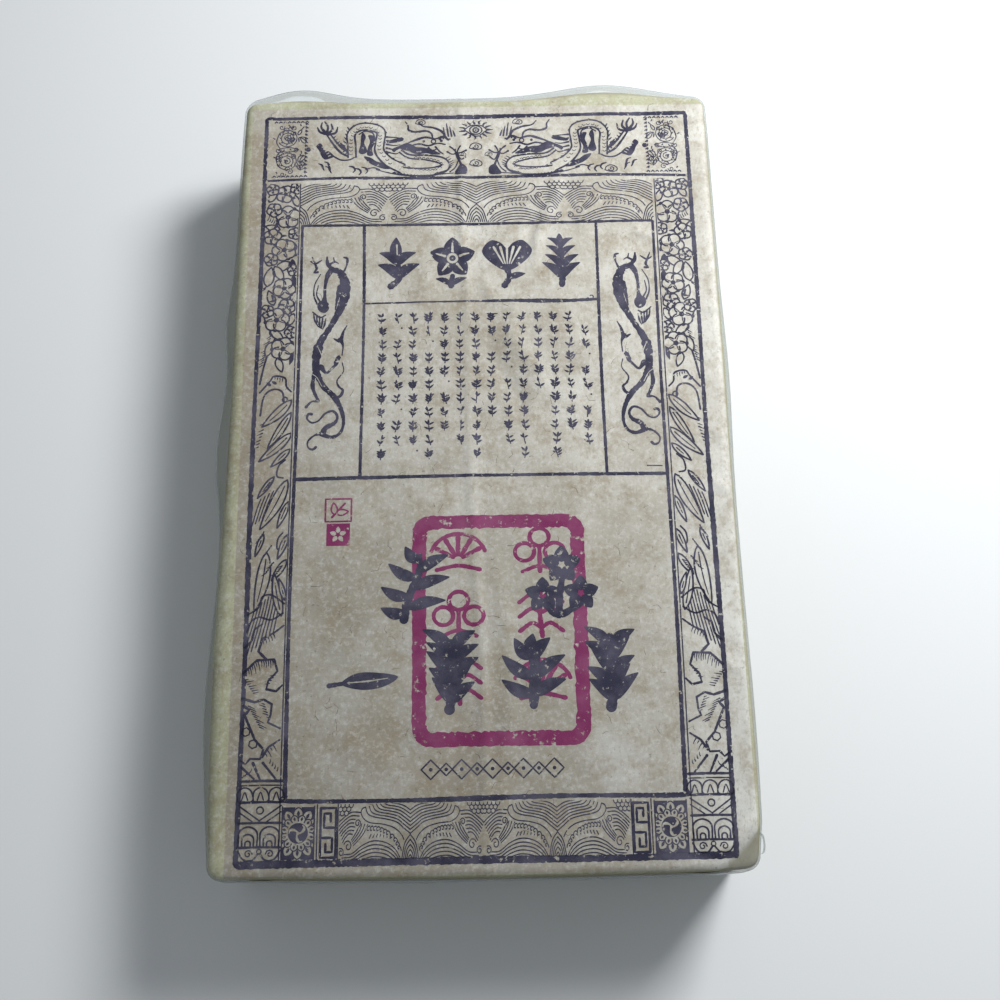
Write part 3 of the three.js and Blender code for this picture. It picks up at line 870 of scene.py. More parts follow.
# Places in a column: across it from its outer side, and up the print. A blossom has a radius, a leaf and its
# shadow a length and a turn, and a blade its tip and a width.
BLOSSOMS = [(5.7, 84.2, 2.5), (1.8, 85.8, 1.7), (9.0, 86.2, 1.7), (6.7, 76.4, 3.2), (2.5, 78.8, 2.0),
            (2.3, 69.8, 2.3), (5.9, 65.4, 3.1), (8.9, 70.8, 1.7), (2.1, 62.2, 1.8), (6.3, 52.8, 2.9),
            (8.9, 58.6, 1.6), (7.2, 46.8, 2.2), (4.4, 42.6, 3.2), (1.5, 45.4, 1.8), (6.6, 33.4, 3.1),
            (8.8, 38.6, 1.7)]
LEAVES = [(9.6, 80, 4.4, 110), (0.8, 81.6, 4.4, 60), (4.4, 72.2, 4.6, 165), (9.2, 76, 4.4, 280),
          (7.6, 61.4, 6.0, 215), (3.2, 60, 5.5, 300), (1.2, 53.4, 6.4, 80), (9.4, 63.4, 4.4, 100),
          (3.4, 47.4, 5, 110), (9.2, 52, 4.6, 270), (9.4, 44.6, 4.2, 250), (2.8, 39.4, 5, 320),
          (9.4, 35.4, 4, 240), (3.4, 35.6, 5, 250), (5, 30.4, 4.6, 290)]
SHADOWS = [(4.3, 80.4, 2.6, 200), (8.7, 82.6, 2.4, 130), (3.6, 74.6, 2.8, 240), (4.3, 69.6, 2.4, 10),
           (8.0, 72.8, 2.4, 60), (8.4, 62.4, 5.4, 268), (8.9, 57, 5.4, 265), (3.6, 56.6, 2.8, 100),
           (4.2, 49.4, 2.4, 200), (2.6, 50.8, 2.2, 280), (8.3, 41.4, 2.8, 240), (1.6, 41.4, 2.4, 300),
           (3.6, 37.4, 2.4, 120), (9.2, 32.4, 4.2, 262), (7.4, 88, 2.4, 280)]
BLADES = [(9.6, 17.4, 1.4, 9.4, 2.8), (9.6, 13.6, 3.2, 2.8, 2.2), (9.9, 7.4, 0.9, -1, 2.6),
          (9.6, 2.6, 4.4, -2.6, 1.8), (5.4, -5.6, 1.0, -11.8, 1.6), (9.2, -6.6, 2.0, -21, 3.4),
          (9.7, -13, 6.8, -20.6, 1.7), (9.8, -22.6, 7.2, -29.4, 1.7), (3.2, -22.4, 1.0, -28.6, 1.4),
          (9.7, -29.6, 5.8, -35.6, 1.9), (8.8, -45.4, 6.4, -33.4, 2.4), (4.2, -27.6, 1.4, -44, 3.6),
          (9.6, -41, 7.8, -35, 1.4)]


def flowering_branch():
    """Plum blossoms among leaves down the upper half of a column."""
    drawing = stroke([(4.8, 38), (2.8, 33.4), (1.4, 28.4), (0.3, 22.4)], 0.6)
    drawing += hatching((3.2, 57.2), (0.8, 52.8), 7, 1.9, 215, 0.4)
    drawing += hatching((3.0, 37.6), (0.8, 28.4), 12, 2.0, 215, 0.4)
    for x, y, length, turn in LEAVES:
        drawing += leaf(x, y, length, length * 0.46, turn, 0.46)
    for x, y, length, turn in SHADOWS:
        drawing += brush_leaf(x, y, length, length * 0.34, turn, 0.3)
    drawing += hatching((6.0, 49.4), (8.8, 48.6), 7, 2.4, 95, 0.36)
    drawing += hatching((0.6, 75.4), (3.6, 73.6), 6, 1.8, 70, 0.36)
    for k, (x, y, radius) in enumerate(BLOSSOMS):
        drawing += blossom(x, y, radius, 31 * k)
    return drawing


def mound_and_blades():
    """A mound with a curled stone, and below it long blades that hang over one another."""
    drawing = strokes(
        ([(9.4, 20), (8, 21.6), (7.5, 24.2), (4.4, 24.8), (3.2, 23.2), (0.4, 19.8)], 0.55),
        ([(7.5, 16.2), (6.8, 20), (4, 20.7), (1.6, 18.4), (0.8, 12.8)], 0.55))
    drawing += ring(7.7, 17.6, 0.75, 0.45)
    drawing += brush_leaf(5.2, 22.4, 1.8, 0.9, 150) + brush_leaf(3.6, 21.8, 1.8, 0.9, 140)
    drawing += hatching((6.8, 24), (4.6, 24.4), 4, 1.2, 265)
    drawing += hatching((2.4, 10.6), (0.6, 3.4), 8, 1.9, 205, 0.4)
    drawing += family([(8.8, -37), (8.0, -43), (6.8, -50)], [(1.6, -43), (0.6, -47), (-2.4, -58)], 9, 0.36)
    drawing += family([(6.6, -9), (5.4, -12), (3.6, -17)], [(2.0, -12), (1.0, -15), (-0.2, -20)], 5, 0.36)
    for line in [[(8.6, -21.8), (7.2, -23.6), (7.0, -26.4), (8.2, -27)],
                 [(8.4, -0.6), (6.6, -2.4), (6.2, -5.4), (8.0, -6)]]:
        drawing += stroke(line, 0.5)
    for x, y, tip_x, tip_y, width in BLADES:
        drawing += blade((x, y), (tip_x, tip_y), width, 0.25 * width - 0.4, 0.48)
    for x, y, turn in [(5.4, -6.4, 210), (6.2, -30.4, 215), (3.2, -21.6, 240), (5.4, -25.6, 230),
                       (8.6, -31.4, 200)]:
        drawing += hatching((x, y), (x - 1.8, y - 2.8), 5, 1.7, turn, 0.4)
    return drawing


ROCKS = [[(-64.3, -60.8), (-60.8, -57.4), (-56.2, -57.2), (-55.2, -60.4), (-57.6, -63), (-58, -65.2)],
         [(-58.3, -57.2), (-60.5, -55), (-59.5, -51.5), (-56.5, -50), (-53.9, -48)],
         [(-64.2, -54), (-62.4, -52), (-61.8, -49), (-59.8, -47.6)],
         [(-64.2, -67.6), (-61, -68.6), (-58.6, -67.9), (-56.4, -69.2), (-56.6, -72), (-57.3, -74),
          (-54, -75.6)], [(-58, -65.2), (-55.4, -65.8), (-53.8, -64.2)],
         [(-64, -69.5), (-62.3, -70.6), (-63.5, -72), (-60.6, -78.4), (-58.2, -81), (-59, -83.5),
          (-61.6, -83.4), (-62.8, -84.8), (-64.2, -83.8)], [(-58.5, -83), (-56.8, -80.4), (-54, -78.6)],
         [(-58.2, -84.5), (-54.6, -88.8)], [(-60.8, -84.5), (-58.8, -88.8)],
         [(-63.8, -85.5), (-60.4, -88.6)]]

# where each patch of hatching starts and ends, its strokes' number, length and turn
ROCK_SHADOWS = [
    ((-62.6, -69.6), (-59.4, -75.2), 9, 2.6, -25),
    ((-63.2, -59.4), (-60.6, -57.6), 6, 2.8, -75),
    ((-59.6, -57.6), (-56.6, -57.6), 6, 2.4, -85),
    ((-58.4, -69.2), (-57, -72.8), 6, 1.8, 160),
    ((-57.6, -82.2), (-55.6, -80), 4, 1.8, -60),
    ((-59.6, -51.8), (-56.6, -50.4), 5, 2.0, -70),
    ((-63.8, -62.6), (-61.4, -66.2), 7, 2.0, 10),
    ((-55.8, -61.4), (-57.2, -63.6), 4, 1.6, 190),
    ((-56.4, -84.6), (-54.4, -86.6), 4, 1.4, 80),
    ((-63.4, -88.2), (-61.6, -87), 4, 1.3, 60),
]


def rocks():
    """Angular rocks with hatched shadows above the column's foot."""
    drawing = [part for line in ROCKS for part in bar(line, 0.75, 0.5)]
    for x, y in [(-63.0, -76.4), (-61.0, -79.6)]:
        drawing += ribbon(circle(x, y, 1.15, 20, points=6), (0.4,))
    for shadow in ROCK_SHADOWS:
        drawing += hatching(*shadow)
    drawing += strokes(
        ([(-64, -45), (-61, -43), (-60, -40), (-57.4, -39.6), (-54, -42)], 0.5),
        ([(-63.8, -49.6), (-62.8, -46.8), (-60.6, -45.6), (-57.4, -46.4), (-54.2, -44.6)], 0.5))
    return drawing


def column_foot():
    """The bands at a column's foot: petals, a chevron, nested arches and a scrolled mound."""
    drawing = []
    for y, width in [(-89.2, 0.7), (-90.3, 0.35), (-94.6, 0.6), (-99.8, 0.6), (-105.9, 0.6)]:
        drawing += bar([(-64, y), (-58, y + 0.1), (-53, y)], width)
    for x in (-62.6, -58.5, -54.4):
        drawing += outlined([(x - 1.9, -94.3), (x - 1.7, -91.8), (x, -90.8), (x + 1.7, -91.8),
                             (x + 1.9, -94.3)], 0.42)
        drawing += stroke([(x - 0.8, -94), (x, -92), (x + 0.8, -94)], 0.36)
    drawing += bar([(-64, -95.4), (-58.6, -99.2), (-53, -95.4)], 0.4)
    drawing += bar([(-64, -97), (-60.4, -99.4)], 0.36)
    drawing += bar([(-53, -97), (-56.6, -99.4)], 0.36) + ring(-58.5, -96.6, 0.9, 0.4)
    for x in (-61.4, -55.8):
        for size in (1.0, 0.62, 0.28):
            drawing += stroke([(x - 2.4 * size, -105.6), (x - 2.3 * size, -105.6 + 3.6 * size),
                               (x, -105.6 + 4.9 * size), (x + 2.3 * size, -105.6 + 3.6 * size),
                               (x + 2.4 * size, -105.6)], 0.46)
    drawing += stroke([(-63.9, -106.6), (-62.4, -108.8), (-60, -109), (-58.4, -107.4), (-56.8, -109),
                       (-54.4, -108.8), (-53, -106.6)], 0.45)
    drawing += spiral(-61.2, -107.5, 1.1, 0.3, 1.2, 0, 0.36, 0.34)
    drawing += spiral(-55.6, -107.5, 1.1, 0.3, -1.2, 180, 0.36, 0.34)
    drawing += ring(-58.4, -106.9, 0.6, 0.34)
    return drawing


def side_column():
    """The left column, from its blossoms down to its foot."""
    drawing = clipped(placed(flowering_branch() + mound_and_blades(), -63.5, 0), -63.6, -53.7, -57, 87.8)
    return [drawing, rocks() + column_foot(), bar([(-53.4, 87.6), (-53.3, 30), (-53.5, -40),
                                                   (-53.3, -109)], 0.35)]


# ---------------------------------------------------------------- the bottom band's tiles
def rosette():
    """A square tile: a dark disc with three pale swirls among petals, on dark corners."""
    drawing = []
    for x, y in [(-4.2, 6.8), (4.2, 6.8), (-4.2, -6.8), (4.2, -6.8)]:
        drawing += dot(x, y, 3.4)
    outer = outlined([(3.0, -1.0), (5.4, -1.2), (6.6, 0), (5.4, 1.2), (3.0, 1.0)], 0.34)
    outer += fill([(4.2, 0), (5.0, -0.4), (5.8, 0), (5.0, 0.4)])
    inner = outlined([(2.6, -0.8), (4.0, -0.9), (4.7, 0), (4.0, 0.9), (2.6, 0.8)], 0.34)
    inner += fill([(3.2, 0), (3.8, -0.35), (4.3, 0), (3.8, 0.35)])
    drawing += turned(outer, step=30) + turned(inner, start=15, step=30)
    drawing = clipped(drawing, -4.1, 4.1, -6.7, 6.7) + dot(0, 0, 3.0, inked=False) + dot(0, 0, 2.65)
    swirl = stroke([(0.5, 0), (1.3, 0.5), (1.7, 1.4), (1.2, 2.0)], 0.4, 0.75, 0.3, inked=False)
    drawing += turned(swirl, step=120)
    for x in (-4.25, 4.25):
        drawing += bar([(x, -6.9), (x, 6.9)], 0.36)
    return drawing + dot(0, 0, 0.45, inked=False)


def meander():
    """A squared spiral, once up and once down the tile."""
    turn = [(-1.9, 5.9), (1.9, 5.9), (1.9, 1.2), (-1.0, 1.2), (-1.0, 4.6), (0.6, 4.6), (0.6, 2.6)]
    drawing = bar(turn, 0.62) + placed(bar(turn, 0.62), turn=180)
    return drawing + bar([(-1.9, 5.9), (-1.9, -1.2)], 0.62) + bar([(1.9, -5.9), (1.9, 1.2)], 0.62)


def bottom_tiles():
    """The rosettes and meanders beside the lower waves, and the lines between them."""
    middle = -102.5
    tiles = [placed(rosette(), x, middle, 0.98) for x in (-48.5, 48)]
    meanders = [placed(meander(), x, middle, 1.05) for x in (-40.7, 40.2)]
    lines = [bar([(x, -95.4), (x, -109.4)], 0.32) for x in (-43.6, -38.2, 37.8, 43)]
    return tiles + meanders + lines


# ---------------------------------------------------------------- signs in place of the pack's own words
def leaf_pairs(spots, size, slim, spread, bend=0.5):
    """Pairs of pressed leaves on either side of a stalk, from (x, y) spots up it."""
    drawing = []
    for x, y in spots:
        drawing += brush_leaf(x, y, size, size * slim, spread, bend)
        drawing += brush_leaf(x, y, size, size * slim, 180 - spread, -bend)
        size *= 0.88
    return drawing


def sign_bud():
    """Two broad leaves and a bud over a bent stalk, on a curled root."""
    drawing = stroke([(-1.6, -6.8), (0.3, -5), (0.5, -2.6), (0, 0.8)], 1.9, 1.6, 1.4, 1.2)
    drawing += leaf_pairs([(0.4, -4.4), (0.1, -0.6)], 6.6, 0.42, 36, 0.9)
    drawing += brush_leaf(-0.1, 1.2, 6, 3.1, 92, 0.2)
    return drawing + stroke([(0, 2.2), (-0.1, 5)], 0.3, 0.5, inked=False)


def sign_blossom():
    """An open blossom seen from the front, with two sepals below."""
    drawing = turned(brush_leaf(1.0, 0, 5.0, 4.4, 0), 0, 1.0, start=90)
    drawing += turned(stroke([(2.0, 0), (4.4, 0)], 0.7, 0.4, inked=False), 0, 1.0, start=90)
    drawing += dot(0, 1.0, 1.5, inked=False) + dot(0, 1.0, 0.85)
    return drawing + stroke([(0, -4), (-0.4, -6.9)], 1.2, 1.7) + leaf_pairs([(-0.4, -6.6)], 4.4, 0.36, 24)


def sign_fan_leaf():
    """A fan-shaped leaf with pale ribs, its stalk and a small leaf."""
    drawing = fill([(0, -2.8), (4.4, -0.2), (6.4, 3.0), (4.2, 5.9), (1.6, 5.2), (0, 3.6), (-1.6, 5.2),
                    (-4.2, 5.9), (-6.4, 3.0), (-4.4, -0.2)])
    for x in (-4.0, -2.0, 0, 2.0, 4.0):
        drawing += stroke([(x * 0.25, -0.8), (x * 0.85, 4.0)], 0.3, 0.7, inked=False)
    drawing += stroke([(0, -2.4), (0.5, -4.6), (-0.8, -7)], 1.5, 1.3, 1.7)
    return drawing + brush_leaf(0.2, -5, 4.6, 1.8, 16, 0.3)


def sign_sprig():
    """A stalk with four pairs of leaves."""
    drawing = stroke([(0, -7), (0.4, -2), (-0.2, 5)], 1.7, 1.4, 1.0)
    drawing += leaf_pairs([(0, -5), (0.2, -2.2), (0, 0.8), (-0.1, 3.4)], 6.6, 0.34, 42, 0.8)
    return drawing + brush_leaf(-0.2, 4.4, 3.4, 1.8, 92)


TITLE_X, TITLE_Y = (-24.0, -7.6, 8.6, 24.6), 60.6


def title_signs():
    signs = [sign_bud(), sign_blossom(), sign_fan_leaf(), sign_sprig()]
    return [placed(sign, x, TITLE_Y, 1.16) for sign, x in zip(signs, TITLE_X)]


def tiny_sprig(rng):
    """A small stalk with a few pressed leaves."""
    lean = rng.uniform(-0.4, 0.4)
    drawing = stroke([(-lean, -1.5), (0.15 * lean, -0.2), (lean, 0.9)], 0.3, 0.24)
    drawing += brush_leaf(lean, 0.5, rng.uniform(1.1, 1.4), 0.62, 90 - 20 * lean)
    for y in np.linspace(-0.95, 0.35, rng.integers(2, 4)):
        for side in (-1, 1):
            if rng.uniform() < 0.88:
                turn = 90 - side * rng.uniform(38, 66)
                drawing += brush_leaf(-0.5 * lean * (y < 0), y, rng.uniform(1.25, 1.75),
                                      rng.uniform(0.5, 0.68), turn)
    return drawing


FIRST_COLUMN, COLUMN_STEP = -28.2, 4.53
COLUMN_TOP, LAST_TOP, MARK_STEP = 42.4, 37.8, 4.2
# how many sprigs each column has room for
COLUMN_MARKS = [11, 10, 11, 11, 9, 10, 11, 8, 10, 11, 6, 11, 9, 9]


def leaf_columns():
    """Columns of tiny sprigs, some with gaps."""
    rng = np.random.default_rng(41)
    drawing = stroke([(2.4, 43.5), (5.4, 43.5)], 0.3)
    for column, marks in enumerate(COLUMN_MARKS):
        x = FIRST_COLUMN + COLUMN_STEP * column
        top = COLUMN_TOP if column < len(COLUMN_MARKS) - 1 else LAST_TOP
        for k in range(marks):
            y = top - MARK_STEP * k
            if rng.uniform() < 0.08:
                drawing += dot(x + 1.2, y + 1, 0.28)
            else:
                drawing += placed(tiny_sprig(rng), x + rng.uniform(-0.15, 0.15), y, rng.uniform(0.95, 1.12))
    return drawing


def lozenge_row():
    """A row of small lozenges and dots along the foot of the panel."""
    drawing = []
    for k, x in enumerate(np.linspace(-14.2, 18.2, 9)):
        size = 1.6 if k % 2 else 2.5
        drawing += bar([(x - size, -87), (x, -87 + size), (x + size, -87), (x, -87 - size),
                        (x - size, -87)], 0.4)
        drawing += dot(x, -87, 0.5)
    return drawing


def brushed_stalk(points, *widths):
    """A stalk with the thick start and end of a loaded brush."""
    start, end = points[0], points[-1]
    return stroke(points, *widths) + dot(*start, widths[0] * 0.56) + dot(*end, widths[-1] * 0.5)


def leaning_branch():
    """A leaning branch, upper left."""
    drawing = brushed_stalk([(-21.4, -47), (-20.2, -41), (-17.6, -35), (-17, -29)], 2.2, 2.4, 2.0, 1.2)
    for x, y, size, turn in [(-20.8, -45.4, 7.2, 166), (-20.4, -44, 10.6, 12), (-20, -41, 8.4, 158),
                             (-19, -38.6, 10.6, 18), (-18, -35.8, 9, 150), (-17.4, -33.8, 9.4, 30),
                             (-17.2, -31, 6, 132)]:
        drawing += brush_leaf(x, y, size, 3.3, turn, 0.7)
    return drawing


def three_blossoms():
    """Three blossoms on forked stalks, upper right."""
    drawing = strokes(
        ([(21.8, -36), (21, -41), (20.6, -46.6)], 1.6, 2.0, 1.8),
        ([(16.6, -43), (20.6, -46.4), (27, -43)], 1.8))
    for x, y, size in [(21.8, -32.4, 1.3), (16.4, -40.8, 1.2), (26.8, -40.4, 1.2)]:
        drawing += turned(brush_leaf(0.6, 0, 3.6, 3.1, 0), x, y, size, 90) + dot(x, y, 0.75, inked=False)
    return drawing


def bent_leaf():
    """One long leaf with a pale rib, far left."""
    drawing = stroke([(-41.4, -64.6), (-38.6, -64.2), (-36, -63.9)], 1.3, 0.9)
    drawing += fill([(-38, -64.2), (-34.6, -61.6), (-29.6, -61.2), (-23, -62.4), (-26.6, -65),
                     (-32.6, -65.8)])
    return drawing + stroke([(-36.4, -63.9), (-31, -63.5), (-25.6, -62.8)], 0.3, 0.5, 0.25, inked=False)


def upright_branch(x, seed, reach, top):
    """An upright branch with leaves pressed on both sides."""
    rng = np.random.default_rng(seed)
    drawing = brushed_stalk([(x - 0.6, -71.4), (x + 0.6, -64), (x - 0.2, top)], 2.6, 3.0, 1.8)
    for y in np.arange(-69.6, top - 1, 3.6):
        for side in (-1, 1):
            turn = 90 - side * rng.uniform(36, 58)
            drawing += brush_leaf(x, y, reach * rng.uniform(0.8, 1.05), rng.uniform(3, 3.8), turn, side * 0.7)
    return drawing


def brush_sprigs():
    """Big brush-drawn sprigs over and round the seal."""
    fan = brushed_stalk([(13.4, -56), (13.8, -61), (13.2, -70.6)], 3.0, 3.2, 2.2)
    for x, y, size, turn in [(13.4, -68, 9.6, 26), (13.4, -68, 9.6, 154), (13.6, -63.4, 10.4, 36),
                             (13.4, -63.4, 10.4, 144), (13.2, -58.4, 7.6, 50), (13.2, -58.4, 7.6, 130),
                             (13.4, -56.4, 5, 90)]:
        fan += brush_leaf(x, y, size, 3.6, turn, 0.7)
    branches = [upright_branch(-8.6, 3, 10, -53.4), fan, upright_branch(34.4, 6, 9.6, -52.4)]
    return [leaning_branch(), three_blossoms(), bent_leaf(), *branches]


SEAL_LEFT, SEAL_RIGHT, SEAL_TOP, SEAL_FOOT, SEAL_CORNER = -19.2, 28.3, -17.9, -81.2, 5.0


def rounded_frame(inset, corner, uneven):
    """A rounded rectangle inside the seal's edge, with a rough line."""
    left, right = SEAL_LEFT + inset + corner, SEAL_RIGHT - inset - corner
    foot, top = SEAL_FOOT + inset + corner, SEAL_TOP - inset - corner
    corners = [(right, top, 0), (left, top, 90), (left, foot, 180), (right, foot, 270)]
    arcs = np.concatenate([circle(x, y, corner, start, 90) for x, y, start in corners])
    path = polyline([*arcs, arcs[0]], 0.9)[:-1]
    return path + uneven * np.stack([wobble(path, len(path)), wobble(path[::-1], len(path))], 1)


def seal():
    """The big seal: a rough rounded frame with six thin leaf motifs in two columns."""
    drawing = [(rounded_frame(0, SEAL_CORNER, 0.16), True), (rounded_frame(3.8, 2.2, 0.3), False)]
    motifs = [seal_fan, seal_trefoil, seal_twig]
    for column, x in enumerate((-6.6, 15.8)):
        for row, y in enumerate((-28, -45.6, -63.4)):
            drawing += placed(motifs[(row + column) % 3](), x, y, 1, stretch=1.06)
    return drawing


def seal_fan():
    """A fan of five ribs over two arcs."""
    rib = stroke([(1.4, 0), (6.6, 0)], 1.1, 1.3)
    drawing = [part for turn in (30, 60, 90, 120, 150) for part in placed(rib, 0, -2.6, 1, turn)]
    return drawing + ring(0, -2.6, 7.4, 1.1, 20, 140) + stroke([(-5.6, -5.4), (0, -4.2), (5.6, -5.4)], 1.2)


def seal_trefoil():
    """Three round petals over a forked stalk."""
    drawing = ring(0, 3.6, 2.5, 1.1) + ring(-3.9, -0.6, 2.5, 1.1) + ring(3.9, -0.6, 2.5, 1.1)
    return drawing + stroke([(0, 0.6), (0, -6.2)], 1.2) + stroke([(-4.6, -6.2), (0, -4.6), (4.6, -6.2)], 1.1)


def seal_twig():
    """A twig with three crossing pairs of leaves."""
    drawing = stroke([(0, 6.4), (-0.3, 0), (0.2, -6.6)], 1.1, 1.3)
    for y in (4.2, 0.2, -3.8):
        drawing += stroke([(-5.6, y - 1.4), (-2.4, y + 0.9), (0, y - 0.2), (2.4, y + 0.9), (5.6, y - 1.4)],
                          1.1)
    return drawing


def fibres():
    """Dark hairs of plant fibre pressed into the paper."""
    rng = np.random.default_rng(29)
    drawing = []
    for x, y in rng.uniform((-66, -110), (66, 112), (300, 2)):
        length, turn, bend = rng.uniform(0.8, 3.4), rng.uniform(0, 180), rng.uniform(-0.35, 0.35)
        hair = ribbon(np.array([(0, 0), (length / 2, bend * length), (length, 0)]),
                      (rng.uniform(0.08, 0.15), 0.06))
        drawing += placed(hair, x, y, 1, turn)
    return drawing


def small_seals():
    """Two small square marks: one outlined with a leaf, one solid with a pale blossom."""
    outline = bar([(-43.4, -19), (-36.2, -19), (-36.2, -12.5), (-43.4, -12.5), (-43.4, -19)], 0.5)
    outline += stroke([(-41.6, -17.8), (-39.8, -15.8), (-38, -13.8)], 0.6)
    outline += leaf(-40.8, -17, 3.4, 1.7, 96, 0.5) + leaf(-40.4, -16.6, 3.4, 1.7, 8, 0.5)
    solid = block([(-43, -26), (-36.5, -26), (-36.5, -19.6), (-43, -19.6)])
    petals = turned(brush_leaf(0.5, 0, 1.9, 1.3, 0), -39.8, -22.8, start=90)
    return [outline, solid + [(petal, False) for petal, _ in petals]]


# ---------------------------------------------------------------- materials
class Nodes:
    """Short ways to add shader nodes to one material."""

    def __init__(self, name):
        self.material = bpy.data.materials.new(name)
        self.material.use_nodes = True
        self.tree = self.material.node_tree
        self.shader = self.tree.nodes["Principled BSDF"]

    def put(self, socket, value):
        if isinstance(value, bpy.types.NodeSocket):
            self.tree.links.new(value, socket)
        else:
            socket.default_value = value

    def add(self, kind, inputs, **settings):
        node = self.tree.nodes.new(kind)
        for name, value in settings.items():
            setattr(node, name, value)
        for key, value in inputs.items():
            self.put(node.inputs[key], value)
        return node

    def math(self, operation, *values):
        return self.add("ShaderNodeMath", dict(enumerate(values)), operation=operation).outputs[0]

    def ramp(self, value, low, high, out_low=0.0, out_high=1.0):
        """A smooth change from one value to another as the input goes from low to high."""
        inputs = {"Value": value, "From Min": low, "From Max": high, "To Min": out_low, "To Max": out_high}
        return self.add("ShaderNodeMapRange", inputs, interpolation_type="SMOOTHSTEP").outputs[0]

    def mix(self, share, a, b):
        a, b = ((*c, 1) if isinstance(c, tuple) else c for c in (a, b))
        return self.add("ShaderNodeMix", {0: share, 6: a, 7: b}, data_type="RGBA").outputs[2]

    def noise(self, place, wavelength, detail=3.0, rough=0.55, stretch=(1, 1, 1), shift=0.0):
        """Noise of a wavelength in millimetres, drawn out along an axis by the stretch."""
        scale = tuple(1 / (wavelength * s) for s in stretch)
        moved = self.add("ShaderNodeMapping", {"Vector": place, "Location": (shift, shift, shift),
                                               "Scale": scale})
        inputs = {"Vector": moved.outputs[0], "Scale": 1.0, "Detail": detail, "Roughness": rough}
        return self.add("ShaderNodeTexNoise", inputs).outputs[0]

    def place(self):
        """Where a point lies, in millimetres from the print's centre at the middle of the thickness."""
        coordinates = self.tree.nodes.new("ShaderNodeTexCoord")
        back = tuple(-(SHIFT + (PRINT_X, PRINT_Y, 0)))
        inputs = {"Vector": coordinates.outputs["Object"], "Location": back, "Scale": (1 / MM,) * 3}
        return self.add("ShaderNodeMapping", inputs).outputs[0]

    def axes(self, place):
        return self.add("ShaderNodeSeparateXYZ", {0: place}).outputs

    def soft_surface(self, colour, roughness):
        """Gives the material a colour and only a little shine."""
        self.put(self.shader.inputs["Base Color"], colour)
        self.shader.inputs["Roughness"].default_value = roughness
        self.shader.inputs["Specular IOR Level"].default_value = 0.25

    def near(self, place, uneven, x, y, radius):
        """1 inside an uneven patch of the face and 0 outside it."""
        far = self.add("ShaderNodeVectorMath", {0: place, 1: (x, y, HALF[2])},
                       operation="DISTANCE").outputs["Value"]
        return self.ramp(self.math("MULTIPLY_ADD", uneven, radius * 1.6, far), radius * 2.2, radius * 1.2)


PARCHMENT, PARCHMENT_DARK = (0.65, 0.61, 0.55), (0.37, 0.32, 0.25)
GROUND, GROUND_DARK = (0.51, 0.50, 0.345), (0.35, 0.325, 0.215)
# painted shade: the darker colour of the walls, which turn away from the light
WALL_SHADE = (0.34, 0.31, 0.22)
# the last of these is painted shade, which darkens the parchment towards the lower left
STAIN_AND_SHADE, BLOTCH, LOWER_LEFT_SHADE = (0.30, 0.235, 0.165), (0.33, 0.265, 0.18), (0.22, 0.195, 0.155)
# the first of these is painted light, which brightens the paper along its right edge
RIGHT_EDGE_LIGHT, PALE_FLECK = (0.86, 0.84, 0.80), (0.78, 0.77, 0.74)
INDIGO, INDIGO_THIN = (0.034, 0.032, 0.061), (0.10, 0.093, 0.135)
SEAL_RED, SEAL_THIN = (0.225, 0.030, 0.112), (0.29, 0.075, 0.165)
# the middle one is the colour of a pale patch near the print's foot
SPECK, PALE_PATCH, FIBRE = (0.16, 0.12, 0.085), (0.70, 0.68, 0.66), (0.15, 0.105, 0.07)
FILM_TINT, FILM_EDGE, FILM_HAZE = (0.93, 0.95, 0.955), (0.2, 0.165, 0.16), (0.62, 0.72, 0.76)
# the parchment panel's edges, from the print's centre. Its left edge leans.
PANEL_LEFT, PANEL_LEAN, PANEL_RIGHT, PANEL_FAR, PANEL_NEAR = -68.0, -0.0071, 70.3, 113.8, 113.4


def paper_colour(nodes, place):
    """Old soft paper: the printed panel's parchment inside, a yellow-green ground outside, and painted shade
    on the walls and towards the lower left.
    """
    x, y, z = nodes.axes(place)
    cloud = nodes.ramp(nodes.noise(place, 26, 4, 0.62), 0.36, 0.66)
    parchment = nodes.mix(nodes.math("MULTIPLY", cloud, 0.55), PARCHMENT, PARCHMENT_DARK)
    ground = nodes.mix(nodes.math("MULTIPLY", cloud, 0.5), GROUND, GROUND_DARK)
    # painted shade: the parchment grows darker towards the lower left, where less light falls
    diagonal = nodes.math("ADD", nodes.math("MULTIPLY", x, 0.8), y)
    parchment = nodes.mix(nodes.ramp(diagonal, 85, -145, 0, 0.54), parchment, LOWER_LEFT_SHADE)
    colour = nodes.mix(panel_share(nodes, x, y), ground, stains_and_painted_light(nodes, place, x, y, parchment))
    blotch = nodes.ramp(nodes.noise(place, 7, 6, 0.72, shift=23), 0.44, 0.68, 0, 0.6)
    colour = nodes.mix(blotch, colour, BLOTCH)
    # painted shade: below the face's edge the walls are darkened
    below = nodes.math("SUBTRACT", nodes.ramp(x, -60, -66, HALF[2], HALF[2] - 3.4), z)
    return nodes.mix(nodes.ramp(below, 0.12, 0.8, 0, 0.72), flecked(nodes, place, colour), WALL_SHADE)


def panel_share(nodes, x, y):
    """1 on the printed panel and 0 on the ground round it."""
    left = nodes.math("MULTIPLY_ADD", y, PANEL_LEAN, PANEL_LEFT)
    share = nodes.ramp(nodes.math("SUBTRACT", x, left), -0.12, 0.12)
    right, far = nodes.math("SUBTRACT", PANEL_RIGHT, x), nodes.math("SUBTRACT", PANEL_FAR, y)
    for distance in (right, far, nodes.math("ADD", y, PANEL_NEAR)):
        share = nodes.math("MULTIPLY", share, nodes.ramp(distance, -0.12, 0.12))
    return share


